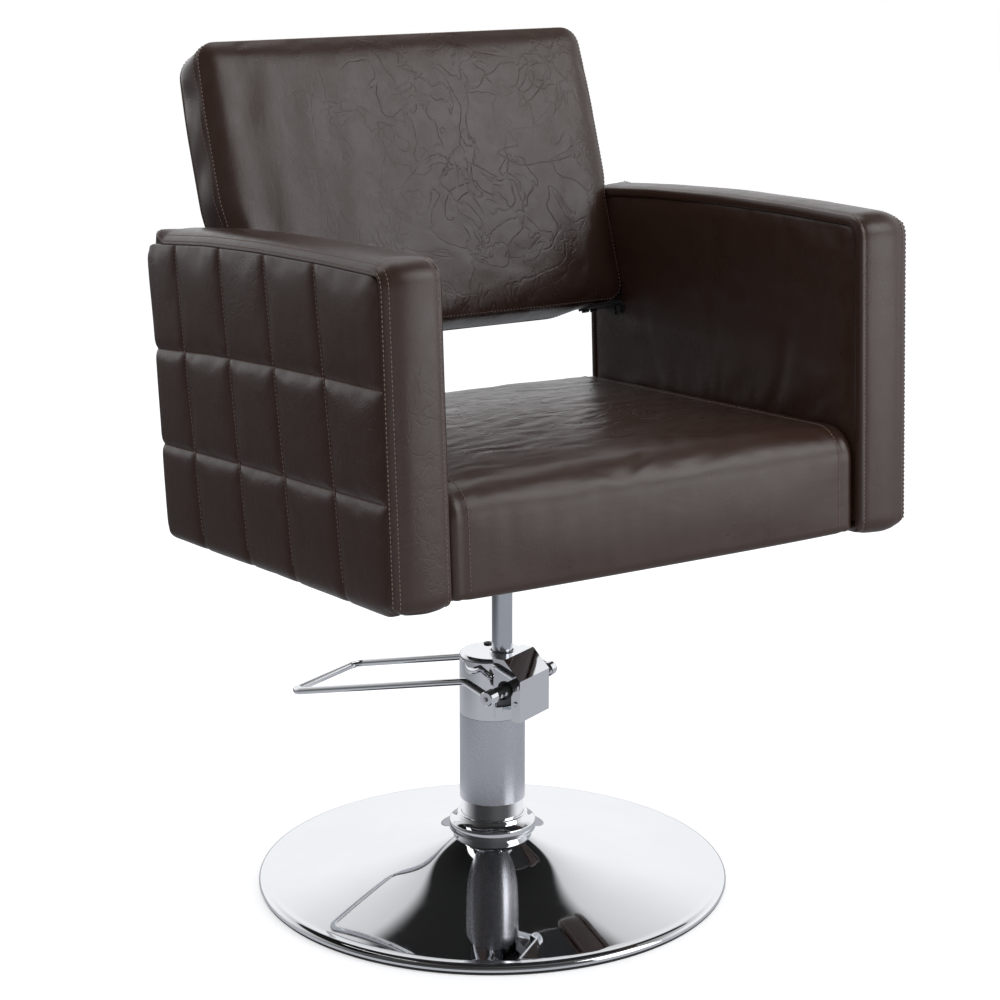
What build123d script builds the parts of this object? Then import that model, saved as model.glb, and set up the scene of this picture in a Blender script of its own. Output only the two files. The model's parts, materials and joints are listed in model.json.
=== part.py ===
from build123d import *
import os
from math import atan2, cos, degrees, radians, sin

os.makedirs("parts", exist_ok=True)

# Hydraulic barber chair. Millimetres, Z up, the origin on the floor on the axis of the
# round base. The sitter faces -Y, and the sitter's right arm is at -X.

# ------------------------------------------------------------------ driving dimensions
# Round base
BASE_R = 275.0
RIM_TOP = 11.5
RIM_LIP = 4.5
SHEET = 2.5
NECK_R = 44.5
NECK_Z = 43.0
DISH_POWER = 3.2
SOCKET_BOTTOM = 11.0
STIFFENER_R = 120.0

# Pump column
CASING_R = 36.4
CASING_WALL = 3.0
CASING_TOP = 203.0
SLEEVE_R = 38.1
SLEEVE_BOTTOM = 101.7
SEAM_Z = 205.5
HEAD_TOP = 279.0
HEAD_WALL = 2.5
FIT = 0.05

# Directions of the pump: its X runs along the pedal shaft, its Y towards the foot bar
PUMP_TURN = 24.4
RAM_OFFSET = -13.5
RAM_R = 12.0
CYLINDER_BORE = 15.0
CYLINDER_WALL = 2.5
CYLINDER_TOP = 228.0
RAM_BOTTOM = 118.0
PISTON_TOP = 140.0

# Pedal shaft, cover box and pedal
SHAFT_Y = -38.4
SHAFT_Z = 246.8
SHAFT_R = 7.0
SHAFT_HALF = 57.0
BOX_HALF = 31.0
BOX_SHEET = 2.0
BOX_TOP = 281.6
BOX_RIDGE_Y = -36.5
BOX_FRONT_Y = -58.2
BOX_CHAMFER_Z = 259.4
BOX_BOTTOM = 210.2
BOX_BACK_Y = -20.5
PEDAL_ROD_R = 4.25
PEDAL_HALF = 64.0
PEDAL_BEND_Y = -5.0
PEDAL_BEND_Z = 260.0
PEDAL_BAR_Y = 245.5
PEDAL_BAR_Z = 201.0
PEDAL_BEND_R = 14.0
PLUNGER_X = -23.0
PLUNGER_Y = -21.0
PLUNGER_R = 4.0
PLUNGER_TOP = 239.9

# Seat unit: everything above the ram leans back by the seat tilt
SEAT_Z = 443.7
SEAT_TILT = 3.0
HUB_BOTTOM = 377.0
ARM_OUTER = 324.5
ARM_T = 68.5
ARM_FRONT = -320.0
ARM_REAR = 194.0
ARM_LOW = -9.0
ARM_TOP = 343.0
ARM_SHOULDER = 336.0
ARM_TOP_R = 24.0
ARM_LOW_R = 14.0
ARM_INNER = ARM_OUTER - ARM_T
BAND_T = 8.0
INNER_PANEL_T = 10.0
OUTER_PANEL_T = 14.0
SEAT_HALF = ARM_INNER - 0.4
SEAT_FRONT = -312.0
SEAT_REAR = 186.0
SEAT_H = 112.0
SKIRT = 10.0
RAIL = 20.0
RAIL_H = 52.0
BOARD_T = 12.0
BOLT_R = 4.0
ARM_BOLT_Y = (-220.0, -20.0, 130.0)
ARM_BOLT_Z = 26.0

# Backrest, in the frame of the seat unit
BACK_Y = 110.0
BACK_Z = 212.5
BACK_LEAN = 16.2
BACK_HALF = 253.5
BACK_H = 336.0
BACK_T = 62.0
BACK_PANEL_T = 15.0
BACK_PANEL_DROP = 7.0
BACK_CORNER = 22.0
POCKET_INSET = 14.0

# Steel angles between the backrest and the arms, in the frame of the backrest
ANGLE_T = 3.0
ANGLE_W = 42.0
ANGLE_DROP = 15.0
ANGLE_REAR = -46.5
ANGLE_FRONT = -8.0
ANGLE_SCREW_UP = -9.0
ANGLE_SCREW_DEPTHS = (-27.0, -15.5)
BOARD_SCREW_DEPTH = BACK_PANEL_T + BOARD_T / 2 - BACK_T
BOARD_SCREW_X = (220.0, 232.0)
SCREW_R = 2.5
THREAD_DEPTH = 25.0

# ------------------------------------------------------------------ reference planes
turn = radians(PUMP_TURN)
pump_plane = Plane(origin=(0, 0, 0), x_dir=(cos(turn), sin(turn), 0), z_dir=(0, 0, 1))


def pump_level(height, x=0.0, y=0.0):
    """Level plane of the pump at a height, centred on a point of the pump's frame."""
    return Plane(
        origin=pump_plane.from_local_coords(Vector(x, y, height)),
        x_dir=pump_plane.x_dir,
        z_dir=(0, 0, 1),
    )


def pump_side(x, y=0.0, z=0.0):
    """Upright plane across the pedal shaft: sketch X is the pump's Y, sketch Y is up."""
    return Plane(
        origin=pump_plane.from_local_coords(Vector(x, y, z)),
        x_dir=pump_plane.y_dir,
        z_dir=pump_plane.x_dir,
    )


ram_point = pump_plane.from_local_coords(Vector(0, RAM_OFFSET, 0))
ram_axis = Axis((ram_point.X, ram_point.Y, 0), (0, 0, 1))
ram_profile = Plane(origin=(ram_point.X, ram_point.Y, 0), x_dir=(1, 0, 0), z_dir=(0, -1, 0))

tilt = radians(SEAT_TILT)
seat_plane = Plane(
    origin=(ram_point.X, ram_point.Y, SEAT_Z),
    x_dir=(1, 0, 0),
    z_dir=(0, sin(tilt), cos(tilt)),
)


def seat_level(height):
    """Plane parallel to the seat at a height above its underside."""
    return seat_plane.offset(height)


def seat_side(x, y=0.0, z=0.0):
    """Plane along the seat's depth: sketch X runs to the rear, sketch Y is up."""
    return Plane(
        origin=seat_plane.from_local_coords(Vector(x, y, z)),
        x_dir=seat_plane.y_dir,
        z_dir=seat_plane.x_dir,
    )


lean = radians(BACK_LEAN)
back_foot = seat_plane.from_local_coords(Vector(0, BACK_Y, BACK_Z))
back_normal = seat_plane.y_dir * -cos(lean) + seat_plane.z_dir * sin(lean)
back_plane = Plane(origin=back_foot, x_dir=(1, 0, 0), z_dir=back_normal)


def back_side(x, up, depth):
    """Plane across the chair at a point of the backrest: sketch X runs up, Y to the front."""
    return Plane(
        origin=back_plane.from_local_coords(Vector(x, up, depth)),
        x_dir=back_plane.y_dir,
        z_dir=(1, 0, 0),
    )


def back_under(depth, up):
    """Plane under the backrest, facing up along it, with its origin at a depth."""
    return Plane(
        origin=back_plane.from_local_coords(Vector(0, up, depth)),
        x_dir=(1, 0, 0),
        z_dir=back_plane.y_dir,
    )


def save(piece, name):
    """Label a finished piece and write its STEP file."""
    piece.part.label = name
    export_step(piece.part, f"parts/{name}.step")


def radial_plane(angle):
    """Upright plane through the base axis: sketch X is the radius, sketch Y is up."""
    way = radians(angle)
    return Plane(
        origin=(0, 0, 0),
        x_dir=(cos(way), sin(way), 0),
        z_dir=(sin(way), -cos(way), 0),
    )


# ------------------------------------------------------------------ round base
RIM_START = BASE_R - 5.0
SOCKET_R = CASING_R + 0.2


def dish_height(radius):
    """Upper skin of the dish: a trumpet that flattens out towards the rim."""
    share = (RIM_START - radius) / (RIM_START - NECK_R)
    return RIM_TOP + (NECK_Z - RIM_TOP) * share**DISH_POWER


dish_radii = [NECK_R + (RIM_START - NECK_R) * step / 6 for step in range(7)]
neck_slope = dish_height(NECK_R + 1) - NECK_Z

with BuildPart() as base_disc:
    with BuildSketch(Plane.XZ):
        with BuildLine():
            Spline(
                [(radius, dish_height(radius)) for radius in dish_radii],
                tangents=[(1, neck_slope), (1, 0)],
            )
            TangentArc((RIM_START, RIM_TOP), (BASE_R, RIM_TOP - 5), tangent=(1, 0))
            Polyline(
                (BASE_R, RIM_TOP - 5),
                (BASE_R, RIM_LIP),
                (BASE_R - SHEET, RIM_LIP),
                (BASE_R - SHEET, RIM_TOP - 5),
            )
            TangentArc(
                (BASE_R - SHEET, RIM_TOP - 5),
                (RIM_START, RIM_TOP - SHEET),
                tangent=(0, 1),
            )
            Spline(
                [(radius, dish_height(radius) - SHEET) for radius in reversed(dish_radii)],
                tangents=[(-1, 0), (-1, -neck_slope)],
            )
            Polyline(
                (NECK_R, NECK_Z - SHEET),
                (SOCKET_R, NECK_Z - SHEET),
                (SOCKET_R, NECK_Z),
                (NECK_R, NECK_Z),
            )
        make_face()
    revolve(axis=Axis.Z)
save(base_disc, "base_disc")

# Rubber ring: the foot that the rim stands on, with an upstand inside the rim's lip
with BuildPart() as floor_ring:
    with BuildSketch(Plane.XZ):
        with BuildLine():
            Polyline(
                (BASE_R - 18, 0),
                (BASE_R - 3, 0),
                (BASE_R - 1, 2),
                (BASE_R - 1, RIM_LIP),
                (BASE_R - SHEET - 0.2, RIM_LIP),
                (BASE_R - SHEET - 0.2, 7),
                (BASE_R - 9, 7),
                (BASE_R - 9, RIM_LIP),
                (BASE_R - 18, 3),
                close=True,
            )
        make_face()
    revolve(axis=Axis.Z)
save(floor_ring, "floor_ring")

# Welded steel socket under the dish, with radial gussets
GUSSETS = 6
with BuildPart() as base_socket:
    with BuildSketch(Plane.XZ):
        with BuildLine():
            Polyline(
                (SOCKET_R, SOCKET_BOTTOM),
                (STIFFENER_R, SOCKET_BOTTOM),
                (STIFFENER_R, SOCKET_BOTTOM + 4),
                (SOCKET_R + 5, SOCKET_BOTTOM + 4),
                (SOCKET_R + 5, NECK_Z - SHEET),
                (SOCKET_R, NECK_Z - SHEET),
                close=True,
            )
        make_face()
    revolve(axis=Axis.Z)
    for number in range(GUSSETS):
        with BuildSketch(radial_plane(number * 360 / GUSSETS)):
            with BuildLine():
                Polyline(
                    (SOCKET_R + 4, SOCKET_BOTTOM + 3),
                    (STIFFENER_R - 12, SOCKET_BOTTOM + 3),
                    (STIFFENER_R - 12, SOCKET_BOTTOM + 5),
                    (SOCKET_R + 4, NECK_Z - SHEET - 6),
                    close=True,
                )
            make_face()
        extrude(amount=2, both=True)
save(base_socket, "base_socket")

with BuildPart() as base_washer:
    with BuildSketch(Plane.XY.offset(SOCKET_BOTTOM - 4)):
        Circle(SOCKET_R + 14)
        Circle(5.2, mode=Mode.SUBTRACT)
    extrude(amount=4)
save(base_washer, "base_washer")

with BuildPart() as base_bolt:
    with BuildSketch(Plane.XY.offset(1.5)):
        RegularPolygon(radius=9.2, side_count=6)
    extrude(amount=5.5)
    with BuildSketch(Plane.XY.offset(7)):
        Circle(5)
    extrude(amount=16)
    chamfer(base_bolt.edges().sort_by(Axis.Z)[-1], 1)
save(base_bolt, "base_bolt")

# Chromed trim ring that closes the joint between the dish and the column
with BuildPart() as base_collar:
    with BuildSketch(Plane.XZ):
        with BuildLine():
            foot = Polyline(
                (SOCKET_R, NECK_Z),
                (46, NECK_Z),
                (49.5, NECK_Z + 2.2),
                (50.5, NECK_Z + 3.5),
                (50.5, NECK_Z + 14.5),
                (49.5, NECK_Z + 16),
            )
            ThreePointArc(foot @ 1, (43.4, NECK_Z + 22), (40.8, NECK_Z + 28))
            Polyline(
                (40.8, NECK_Z + 28),
                (39.6, NECK_Z + 29.5),
                (SOCKET_R, NECK_Z + 29.5),
                (SOCKET_R, NECK_Z),
            )
        make_face()
    revolve(axis=Axis.Z)
save(base_collar, "base_collar")

# ------------------------------------------------------------------ pump column
CASING_BORE = CASING_R - CASING_WALL
with BuildPart() as pump_casing:
    with BuildSketch(Plane.XY.offset(SOCKET_BOTTOM)):
        Circle(CASING_R)
        Circle(CASING_BORE, mode=Mode.SUBTRACT)
    extrude(amount=CASING_TOP - SOCKET_BOTTOM)
save(pump_casing, "pump_casing")

FOOT_TOP = 27.0
with BuildPart() as casing_foot:
    with BuildSketch(Plane.XY.offset(SOCKET_BOTTOM)):
        Circle(CASING_BORE)
    extrude(amount=FOOT_TOP - SOCKET_BOTTOM)
    with BuildSketch(Plane.XY.offset(SOCKET_BOTTOM)):
        Circle(5)
    extrude(amount=12, mode=Mode.SUBTRACT)
save(casing_foot, "casing_foot")

with BuildPart() as cover_sleeve:
    with BuildSketch(Plane.XY.offset(SLEEVE_BOTTOM)):
        Circle(SLEEVE_R)
        Circle(CASING_R + 0.02, mode=Mode.SUBTRACT)
    extrude(amount=SEAM_Z - 0.3 - SLEEVE_BOTTOM)
    chamfer(cover_sleeve.edges().filter_by(GeomType.CIRCLE).group_by(Axis.Z)[0][-1:], 0.5)
save(cover_sleeve, "cover_sleeve")

CYLINDER_R = CYLINDER_BORE + CYLINDER_WALL
with BuildPart() as inner_cylinder:
    with BuildSketch(pump_level(FOOT_TOP, y=RAM_OFFSET)):
        Circle(CYLINDER_R)
        Circle(CYLINDER_BORE, mode=Mode.SUBTRACT)
    extrude(amount=CYLINDER_TOP - FOOT_TOP)
save(inner_cylinder, "inner_cylinder")

# ------------------------------------------------------------------ pump head
HEAD_BORE = SLEEVE_R - HEAD_WALL
BLOCK_R = HEAD_BORE - 0.2
BLOCK_TOP = HEAD_TOP - 3.2
LUG_R = 11.0
BUSH_R = 9.0
LUG_RANGES = ((-16.0, -5.0), (15.0, 28.0))
POCKET_FLOOR = 230.0
CAM_X = (-28.0, -18.0)

with BuildPart() as head_block:
    with BuildSketch(Plane.XY.offset(CASING_TOP)):
        Circle(BLOCK_R)
    extrude(amount=BLOCK_TOP - CASING_TOP)
    # two lugs that carry the pedal shaft in front of the column
    for start, end in LUG_RANGES:
        with BuildSketch(pump_side(start, SHAFT_Y, SHAFT_Z)):
            with BuildLine():
                Polyline((18, LUG_R), (0, LUG_R))
                ThreePointArc((0, LUG_R), (-LUG_R, 0), (0, -LUG_R))
                Polyline((0, -LUG_R), (18, -LUG_R - 8), (18, LUG_R))
            make_face()
        extrude(amount=end - start)
    # clearance for the shaft, and the bores of the ram and of the plunger
    with BuildSketch(pump_side(-BOX_HALF, SHAFT_Y, SHAFT_Z)):
        Circle(BUSH_R)
    extrude(amount=2 * BOX_HALF, mode=Mode.SUBTRACT)
    with BuildSketch(pump_level(CASING_TOP, y=RAM_OFFSET)):
        Circle(CYLINDER_R)
    extrude(amount=CYLINDER_TOP - CASING_TOP, mode=Mode.SUBTRACT)
    with BuildSketch(pump_level(CYLINDER_TOP, y=RAM_OFFSET)):
        Circle(RAM_R + FIT)
    extrude(amount=HEAD_TOP - CYLINDER_TOP, mode=Mode.SUBTRACT)
    with BuildSketch(pump_level(207, PLUNGER_X, PLUNGER_Y)):
        Circle(PLUNGER_R + FIT)
    extrude(amount=40, mode=Mode.SUBTRACT)
    # pocket in which the cam swings above the plunger
    with BuildSketch(pump_side(CAM_X[0] - 4)):
        with BuildLine():
            Polyline(
                (-55, POCKET_FLOOR),
                (-15, POCKET_FLOOR),
                (-15, 256),
                (-26, 262),
                (-55, 262),
                close=True,
            )
        make_face()
    extrude(amount=CAM_X[1] - CAM_X[0] + 5, mode=Mode.SUBTRACT)
save(head_block, "head_block")

FILLER = (18.0, 18.0)
GLAND_R = 15.0
GLAND_SPIGOT = 13.4
SIDE_SCREW_TURN = degrees(atan2(-18.4, -33.6))
side_way = radians(PUMP_TURN + SIDE_SCREW_TURN)
side_screw_plane = Plane(
    origin=(HEAD_BORE * cos(side_way), HEAD_BORE * sin(side_way), 259),
    x_dir=(-sin(side_way), cos(side_way), 0),
    z_dir=(cos(side_way), sin(side_way), 0),
)

# Chromed cap: a thin shell over the block, open towards the cover box
with BuildPart() as head_cap:
    with BuildSketch(Plane.XY.offset(SEAM_Z)):
        Circle(SLEEVE_R)
    extrude(amount=HEAD_TOP - SEAM_Z)
    fillet(head_cap.edges().sort_by(Axis.Z)[-1], 5)
    with BuildSketch(Plane.XY.offset(SEAM_Z)):
        Circle(HEAD_BORE)
    extrude(amount=BLOCK_TOP + 0.2 - SEAM_Z, mode=Mode.SUBTRACT)
    with BuildSketch(pump_level(BLOCK_TOP, y=RAM_OFFSET)):
        Circle(GLAND_SPIGOT)
    extrude(amount=10, mode=Mode.SUBTRACT)
    with BuildSketch(pump_level(BLOCK_TOP, *FILLER)):
        Circle(3)
    extrude(amount=10, mode=Mode.SUBTRACT)
    with BuildSketch(side_screw_plane):
        Circle(1.5)
    extrude(amount=10, both=True, mode=Mode.SUBTRACT)
    with BuildSketch(pump_side(-29)):
        with BuildLine():
            Polyline((-60, 222), (-20, 222), (-20, 268), (-60, 268), close=True)
        make_face()
    extrude(amount=58, mode=Mode.SUBTRACT)
save(head_cap, "head_cap")

with BuildPart() as filler_screw:
    with BuildSketch(pump_level(HEAD_TOP, *FILLER)):
        Circle(5)
    extrude(amount=1.8)
    fillet(filler_screw.edges().sort_by(Axis.Z)[-1], 0.8)
    with BuildSketch(pump_level(HEAD_TOP + 1.8, *FILLER)):
        RegularPolygon(radius=2.4, side_count=6)
    extrude(amount=-1.4, mode=Mode.SUBTRACT)
    with BuildSketch(pump_level(HEAD_TOP, *FILLER)):
        Circle(3)
    extrude(amount=HEAD_TOP - BLOCK_TOP, dir=(0, 0, -1))
save(filler_screw, "filler_screw")

with BuildPart() as cap_set_screw:
    with BuildSketch(side_screw_plane):
        Circle(1.5)
    extrude(amount=HEAD_WALL + 0.1)
    with BuildSketch(side_screw_plane.offset(HEAD_WALL + 0.05)):
        Circle(2.8)
    extrude(amount=2.4)
    fillet(cap_set_screw.edges().group_by(Axis((0, 0, 0), side_screw_plane.z_dir))[-1], 1)
save(cap_set_screw, "cap_set_screw")

GLAND_TOP = HEAD_TOP + 3.4
WIPER_BOTTOM = HEAD_TOP + 1.0
with BuildPart() as ram_gland:
    with BuildSketch(ram_profile):
        with BuildLine():
            Polyline(
                (RAM_R + 0.1, BLOCK_TOP),
                (GLAND_SPIGOT, BLOCK_TOP),
                (GLAND_SPIGOT, HEAD_TOP),
                (GLAND_R, HEAD_TOP),
                (GLAND_R, GLAND_TOP - 1),
                (GLAND_R - 1, GLAND_TOP),
                (GLAND_SPIGOT, GLAND_TOP),
                (GLAND_SPIGOT, WIPER_BOTTOM),
                (RAM_R + 0.1, WIPER_BOTTOM),
                close=True,
            )
        make_face()
    revolve(axis=ram_axis)
save(ram_gland, "ram_gland")

with BuildPart() as wiper_seal:
    with BuildSketch(ram_profile):
        with BuildLine():
            Polyline(
                (RAM_R + FIT, WIPER_BOTTOM),
                (GLAND_SPIGOT, WIPER_BOTTOM),
                (GLAND_SPIGOT, GLAND_TOP - 0.4),
                (RAM_R + FIT, GLAND_TOP + 0.4),
                close=True,
            )
        make_face()
    revolve(axis=ram_axis)
save(wiper_seal, "wiper_seal")

# ------------------------------------------------------------------ cover box
# Folded sheet cover with a sloping shoulder, open below and towards the column
box_slope = atan2(BOX_TOP - BOX_CHAMFER_Z, BOX_RIDGE_Y - BOX_FRONT_Y)
INNER_TOP = HEAD_TOP + 0.1
inner_front = BOX_FRONT_Y + BOX_SHEET
slope_shift = BOX_SHEET / cos(box_slope)
inner_chamfer_z = BOX_CHAMFER_Z - slope_shift + BOX_SHEET * (sin(box_slope) / cos(box_slope))
inner_ridge_y = inner_front + (INNER_TOP - inner_chamfer_z) * (cos(box_slope) / sin(box_slope))
SHAFT_HOLE_R = 10.5
SLOT_REAR = -24.5
SLOT_FRONT = -46.5
COVER_SCREW_Y = -52.0
COVER_SCREW_Z = 232.0

with BuildPart() as pump_cover:
    with BuildSketch(pump_side(-BOX_HALF)):
        with BuildLine():
            Polyline(
                (BOX_BACK_Y, BOX_BOTTOM),
                (BOX_BACK_Y, BOX_TOP),
                (BOX_RIDGE_Y, BOX_TOP),
                (BOX_FRONT_Y, BOX_CHAMFER_Z),
                (BOX_FRONT_Y, BOX_BOTTOM),
                close=True,
            )
        make_face()
    extrude(amount=2 * BOX_HALF)
    with BuildSketch(pump_side(BOX_SHEET - BOX_HALF)):
        with BuildLine():
            Polyline(
                (0, BOX_BOTTOM - 5),
                (0, INNER_TOP),
                (inner_ridge_y, INNER_TOP),
                (inner_front, inner_chamfer_z),
                (inner_front, BOX_BOTTOM - 5),
                close=True,
            )
        make_face()
    extrude(amount=2 * (BOX_HALF - BOX_SHEET), mode=Mode.SUBTRACT)
    with BuildSketch(Plane.XY.offset(BOX_BOTTOM - 5)):
        Circle(SLEEVE_R + FIT)
    extrude(amount=INNER_TOP - BOX_BOTTOM + 5, mode=Mode.SUBTRACT)
    with BuildSketch(pump_level(INNER_TOP - 2, y=RAM_OFFSET)):
        Circle(GLAND_R + 0.4)
    extrude(amount=10, mode=Mode.SUBTRACT)
    # keyhole in both cheeks: it lets the shaft out and the cover slip on from above
    with BuildSketch(pump_side(-BOX_HALF)):
        with Locations((SHAFT_Y, SHAFT_Z)):
            Circle(SHAFT_HOLE_R)
        with Locations(((SLOT_REAR + SLOT_FRONT) / 2, (SHAFT_Z + BOX_BOTTOM) / 2)):
            Rectangle(SLOT_REAR - SLOT_FRONT, SHAFT_Z - BOX_BOTTOM)
        with Locations((COVER_SCREW_Y, COVER_SCREW_Z)):
            Circle(1.5)
    extrude(amount=2 * BOX_HALF, mode=Mode.SUBTRACT)
save(pump_cover, "pump_cover")

with BuildPart() as cover_screws:
    for side in (-1, 1):
        with BuildSketch(pump_side(side * BOX_HALF, COVER_SCREW_Y, COVER_SCREW_Z)):
            Circle(2.8)
        head = extrude(amount=side * 1.8)
        outward = Axis((0, 0, 0), pump_plane.x_dir * side)
        fillet(head.edges().filter_by(GeomType.CIRCLE).sort_by(outward)[-1], 0.9)
        with BuildSketch(pump_side(side * BOX_HALF, COVER_SCREW_Y, COVER_SCREW_Z)):
            Circle(1.5)
        extrude(amount=-side * 4.5)
save(cover_screws, "cover_screws")

with BuildPart() as cover_nuts:
    for side in (-1, 1):
        inner_cheek = side * (BOX_HALF - BOX_SHEET)
        with BuildSketch(pump_side(inner_cheek, COVER_SCREW_Y, COVER_SCREW_Z)):
            Rectangle(6, 6)
            Circle(1.5, mode=Mode.SUBTRACT)
        extrude(amount=-side * 2.5)
save(cover_nuts, "cover_nuts")

# ------------------------------------------------------------------ pedal and its shaft
with BuildPart() as shaft_bushes:
    for start, end in LUG_RANGES:
        with BuildSketch(pump_side(start, SHAFT_Y, SHAFT_Z)):
            Circle(BUSH_R)
            Circle(SHAFT_R + FIT, mode=Mode.SUBTRACT)
        extrude(amount=end - start)
save(shaft_bushes, "shaft_bushes")

GRUB_X = (43.0, 52.0)
GRUB_R = 2.2
with BuildPart() as cross_shaft:
    with BuildSketch(pump_side(-SHAFT_HALF, SHAFT_Y, SHAFT_Z)):
        Circle(SHAFT_R)
    extrude(amount=2 * SHAFT_HALF)
    for side in (-1, 1):
        for along in GRUB_X:
            grub_plane = Plane(
                origin=pump_plane.from_local_coords(Vector(side * along, SHAFT_Y, SHAFT_Z)),
                x_dir=pump_plane.x_dir,
                z_dir=-pump_plane.y_dir,
            )
            with BuildSketch(grub_plane.offset(SHAFT_R - 3)):
                Circle(GRUB_R)
            extrude(amount=6, mode=Mode.SUBTRACT)
save(cross_shaft, "cross_shaft")

with BuildPart() as shaft_screws:
    for side in (-1, 1):
        for along in GRUB_X:
            grub_plane = Plane(
                origin=pump_plane.from_local_coords(Vector(side * along, SHAFT_Y, SHAFT_Z)),
                x_dir=pump_plane.x_dir,
                z_dir=-pump_plane.y_dir,
            )
            with BuildSketch(grub_plane.offset(SHAFT_R - 3)):
                Circle(GRUB_R)
            extrude(amount=5.4)
save(shaft_screws, "shaft_screws")

NOSE_R = 4.0
nose_y = PLUNGER_Y - SHAFT_Y
nose_z = PLUNGER_TOP + 0.1 + NOSE_R - SHAFT_Z
with BuildPart() as pedal_cam:
    with BuildSketch(pump_side(CAM_X[0], SHAFT_Y, SHAFT_Z)):
        Circle(10.5)
        with Locations((nose_y, nose_z)):
            Circle(NOSE_R)
        with BuildLine():
            Polyline(
                (0, 9),
                (nose_y + 1, nose_z + NOSE_R * 0.9),
                (nose_y - 1, nose_z - NOSE_R * 0.9),
                (0, -8.5),
                close=True,
            )
        make_face()
        Circle(SHAFT_R, mode=Mode.SUBTRACT)
    extrude(amount=CAM_X[1] - CAM_X[0])
save(pedal_cam, "pedal_cam")

BOSS_R = 8.5
BOSS_L = 14.0
leg_rise = atan2(PEDAL_BEND_Z - SHAFT_Z, PEDAL_BEND_Y - SHAFT_Y)
LEG_SEAT = 4.4


def leg_start(side):
    """Plane at the foot of a leg, inside its boss, facing along the leg."""
    return Plane(
        origin=pump_plane.from_local_coords(
            Vector(
                side * PEDAL_HALF,
                SHAFT_Y + LEG_SEAT * cos(leg_rise),
                SHAFT_Z + LEG_SEAT * sin(leg_rise),
            )
        ),
        x_dir=pump_plane.x_dir,
        z_dir=pump_plane.y_dir * cos(leg_rise) + Vector(0, 0, sin(leg_rise)),
    )


def pedal_point(side, y, z):
    """Point of the pedal's centre line, in the common frame."""
    return pump_plane.from_local_coords(Vector(side * PEDAL_HALF, y, z))


with BuildPart() as pedal_loop:
    with BuildLine():
        FilletPolyline(
            leg_start(-1).origin,
            pedal_point(-1, PEDAL_BEND_Y, PEDAL_BEND_Z),
            pedal_point(-1, PEDAL_BAR_Y, PEDAL_BAR_Z),
            pedal_point(1, PEDAL_BAR_Y, PEDAL_BAR_Z),
            pedal_point(1, PEDAL_BEND_Y, PEDAL_BEND_Z),
            leg_start(1).origin,
            radius=PEDAL_BEND_R,
        )
    with BuildSketch(leg_start(-1)):
        Circle(PEDAL_ROD_R)
    sweep()
save(pedal_loop, "pedal_loop")

for side, name in ((-1, "pedal_boss_left"), (1, "pedal_boss_right")):
    with BuildPart() as pedal_boss:
        with BuildSketch(pump_side(side * SHAFT_HALF, SHAFT_Y, SHAFT_Z)):
            Circle(BOSS_R)
        extrude(amount=side * BOSS_L)
        outer_rim = pedal_boss.edges().filter_by(GeomType.CIRCLE).sort_by(
            Axis((0, 0, 0), pump_plane.x_dir * side)
        )[-1]
        if side < 0:
            chamfer(outer_rim, 1)
            with BuildSketch(pump_side(-SHAFT_HALF - BOSS_L, SHAFT_Y, SHAFT_Z)):
                RegularPolygon(radius=3.4, side_count=6)
            extrude(amount=5, mode=Mode.SUBTRACT)
        else:
            fillet(outer_rim, 6)
        with BuildSketch(leg_start(side)):
            Circle(PEDAL_ROD_R)
        extrude(amount=10, mode=Mode.SUBTRACT)
    save(pedal_boss, name)

with BuildPart() as plunger:
    with BuildSketch(pump_level(222, PLUNGER_X, PLUNGER_Y)):
        Circle(PLUNGER_R)
    extrude(amount=PLUNGER_TOP - 222)
    chamfer(plunger.edges().sort_by(Axis.Z)[-1], 0.5)
save(plunger, "plunger")

SPRING_R = 3.0
SPRING_WIRE = 0.6
with BuildPart() as plunger_spring:
    with BuildLine(pump_level(207.6, PLUNGER_X, PLUNGER_Y)):
        coil = Helix(pitch=4.4, height=13.2, radius=SPRING_R)
    with BuildSketch(Plane(origin=coil @ 0, z_dir=coil % 0)):
        Circle(SPRING_WIRE)
    sweep()
save(plunger_spring, "plunger_spring")

# ------------------------------------------------------------------ ram and piston
SPIGOT_R = 8.0
PISTON_BOTTOM = 120.5
SEAL_Z = (127.0, 132.0)
with BuildPart() as ram_piston:
    with BuildSketch(ram_profile):
        with BuildLine():
            Polyline(
                (SPIGOT_R + FIT, PISTON_BOTTOM),
                (CYLINDER_BORE - FIT - 1, PISTON_BOTTOM),
                (CYLINDER_BORE - FIT, PISTON_BOTTOM + 1),
                (CYLINDER_BORE - FIT, SEAL_Z[0]),
                (CYLINDER_BORE - 2.5, SEAL_Z[0]),
                (CYLINDER_BORE - 2.5, SEAL_Z[1]),
                (CYLINDER_BORE - FIT, SEAL_Z[1]),
                (CYLINDER_BORE - FIT, PISTON_TOP - 0.1),
                (SPIGOT_R + FIT, PISTON_TOP - 0.1),
                close=True,
            )
        make_face()
    revolve(axis=ram_axis)
save(ram_piston, "ram_piston")

with BuildPart() as piston_seal:
    with BuildSketch(pump_level(SEAL_Z[0], y=RAM_OFFSET)):
        Circle(CYLINDER_BORE - FIT / 2)
        Circle(CYLINDER_BORE - 2.5, mode=Mode.SUBTRACT)
    extrude(amount=SEAL_Z[1] - SEAL_Z[0])
save(piston_seal, "piston_seal")

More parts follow.
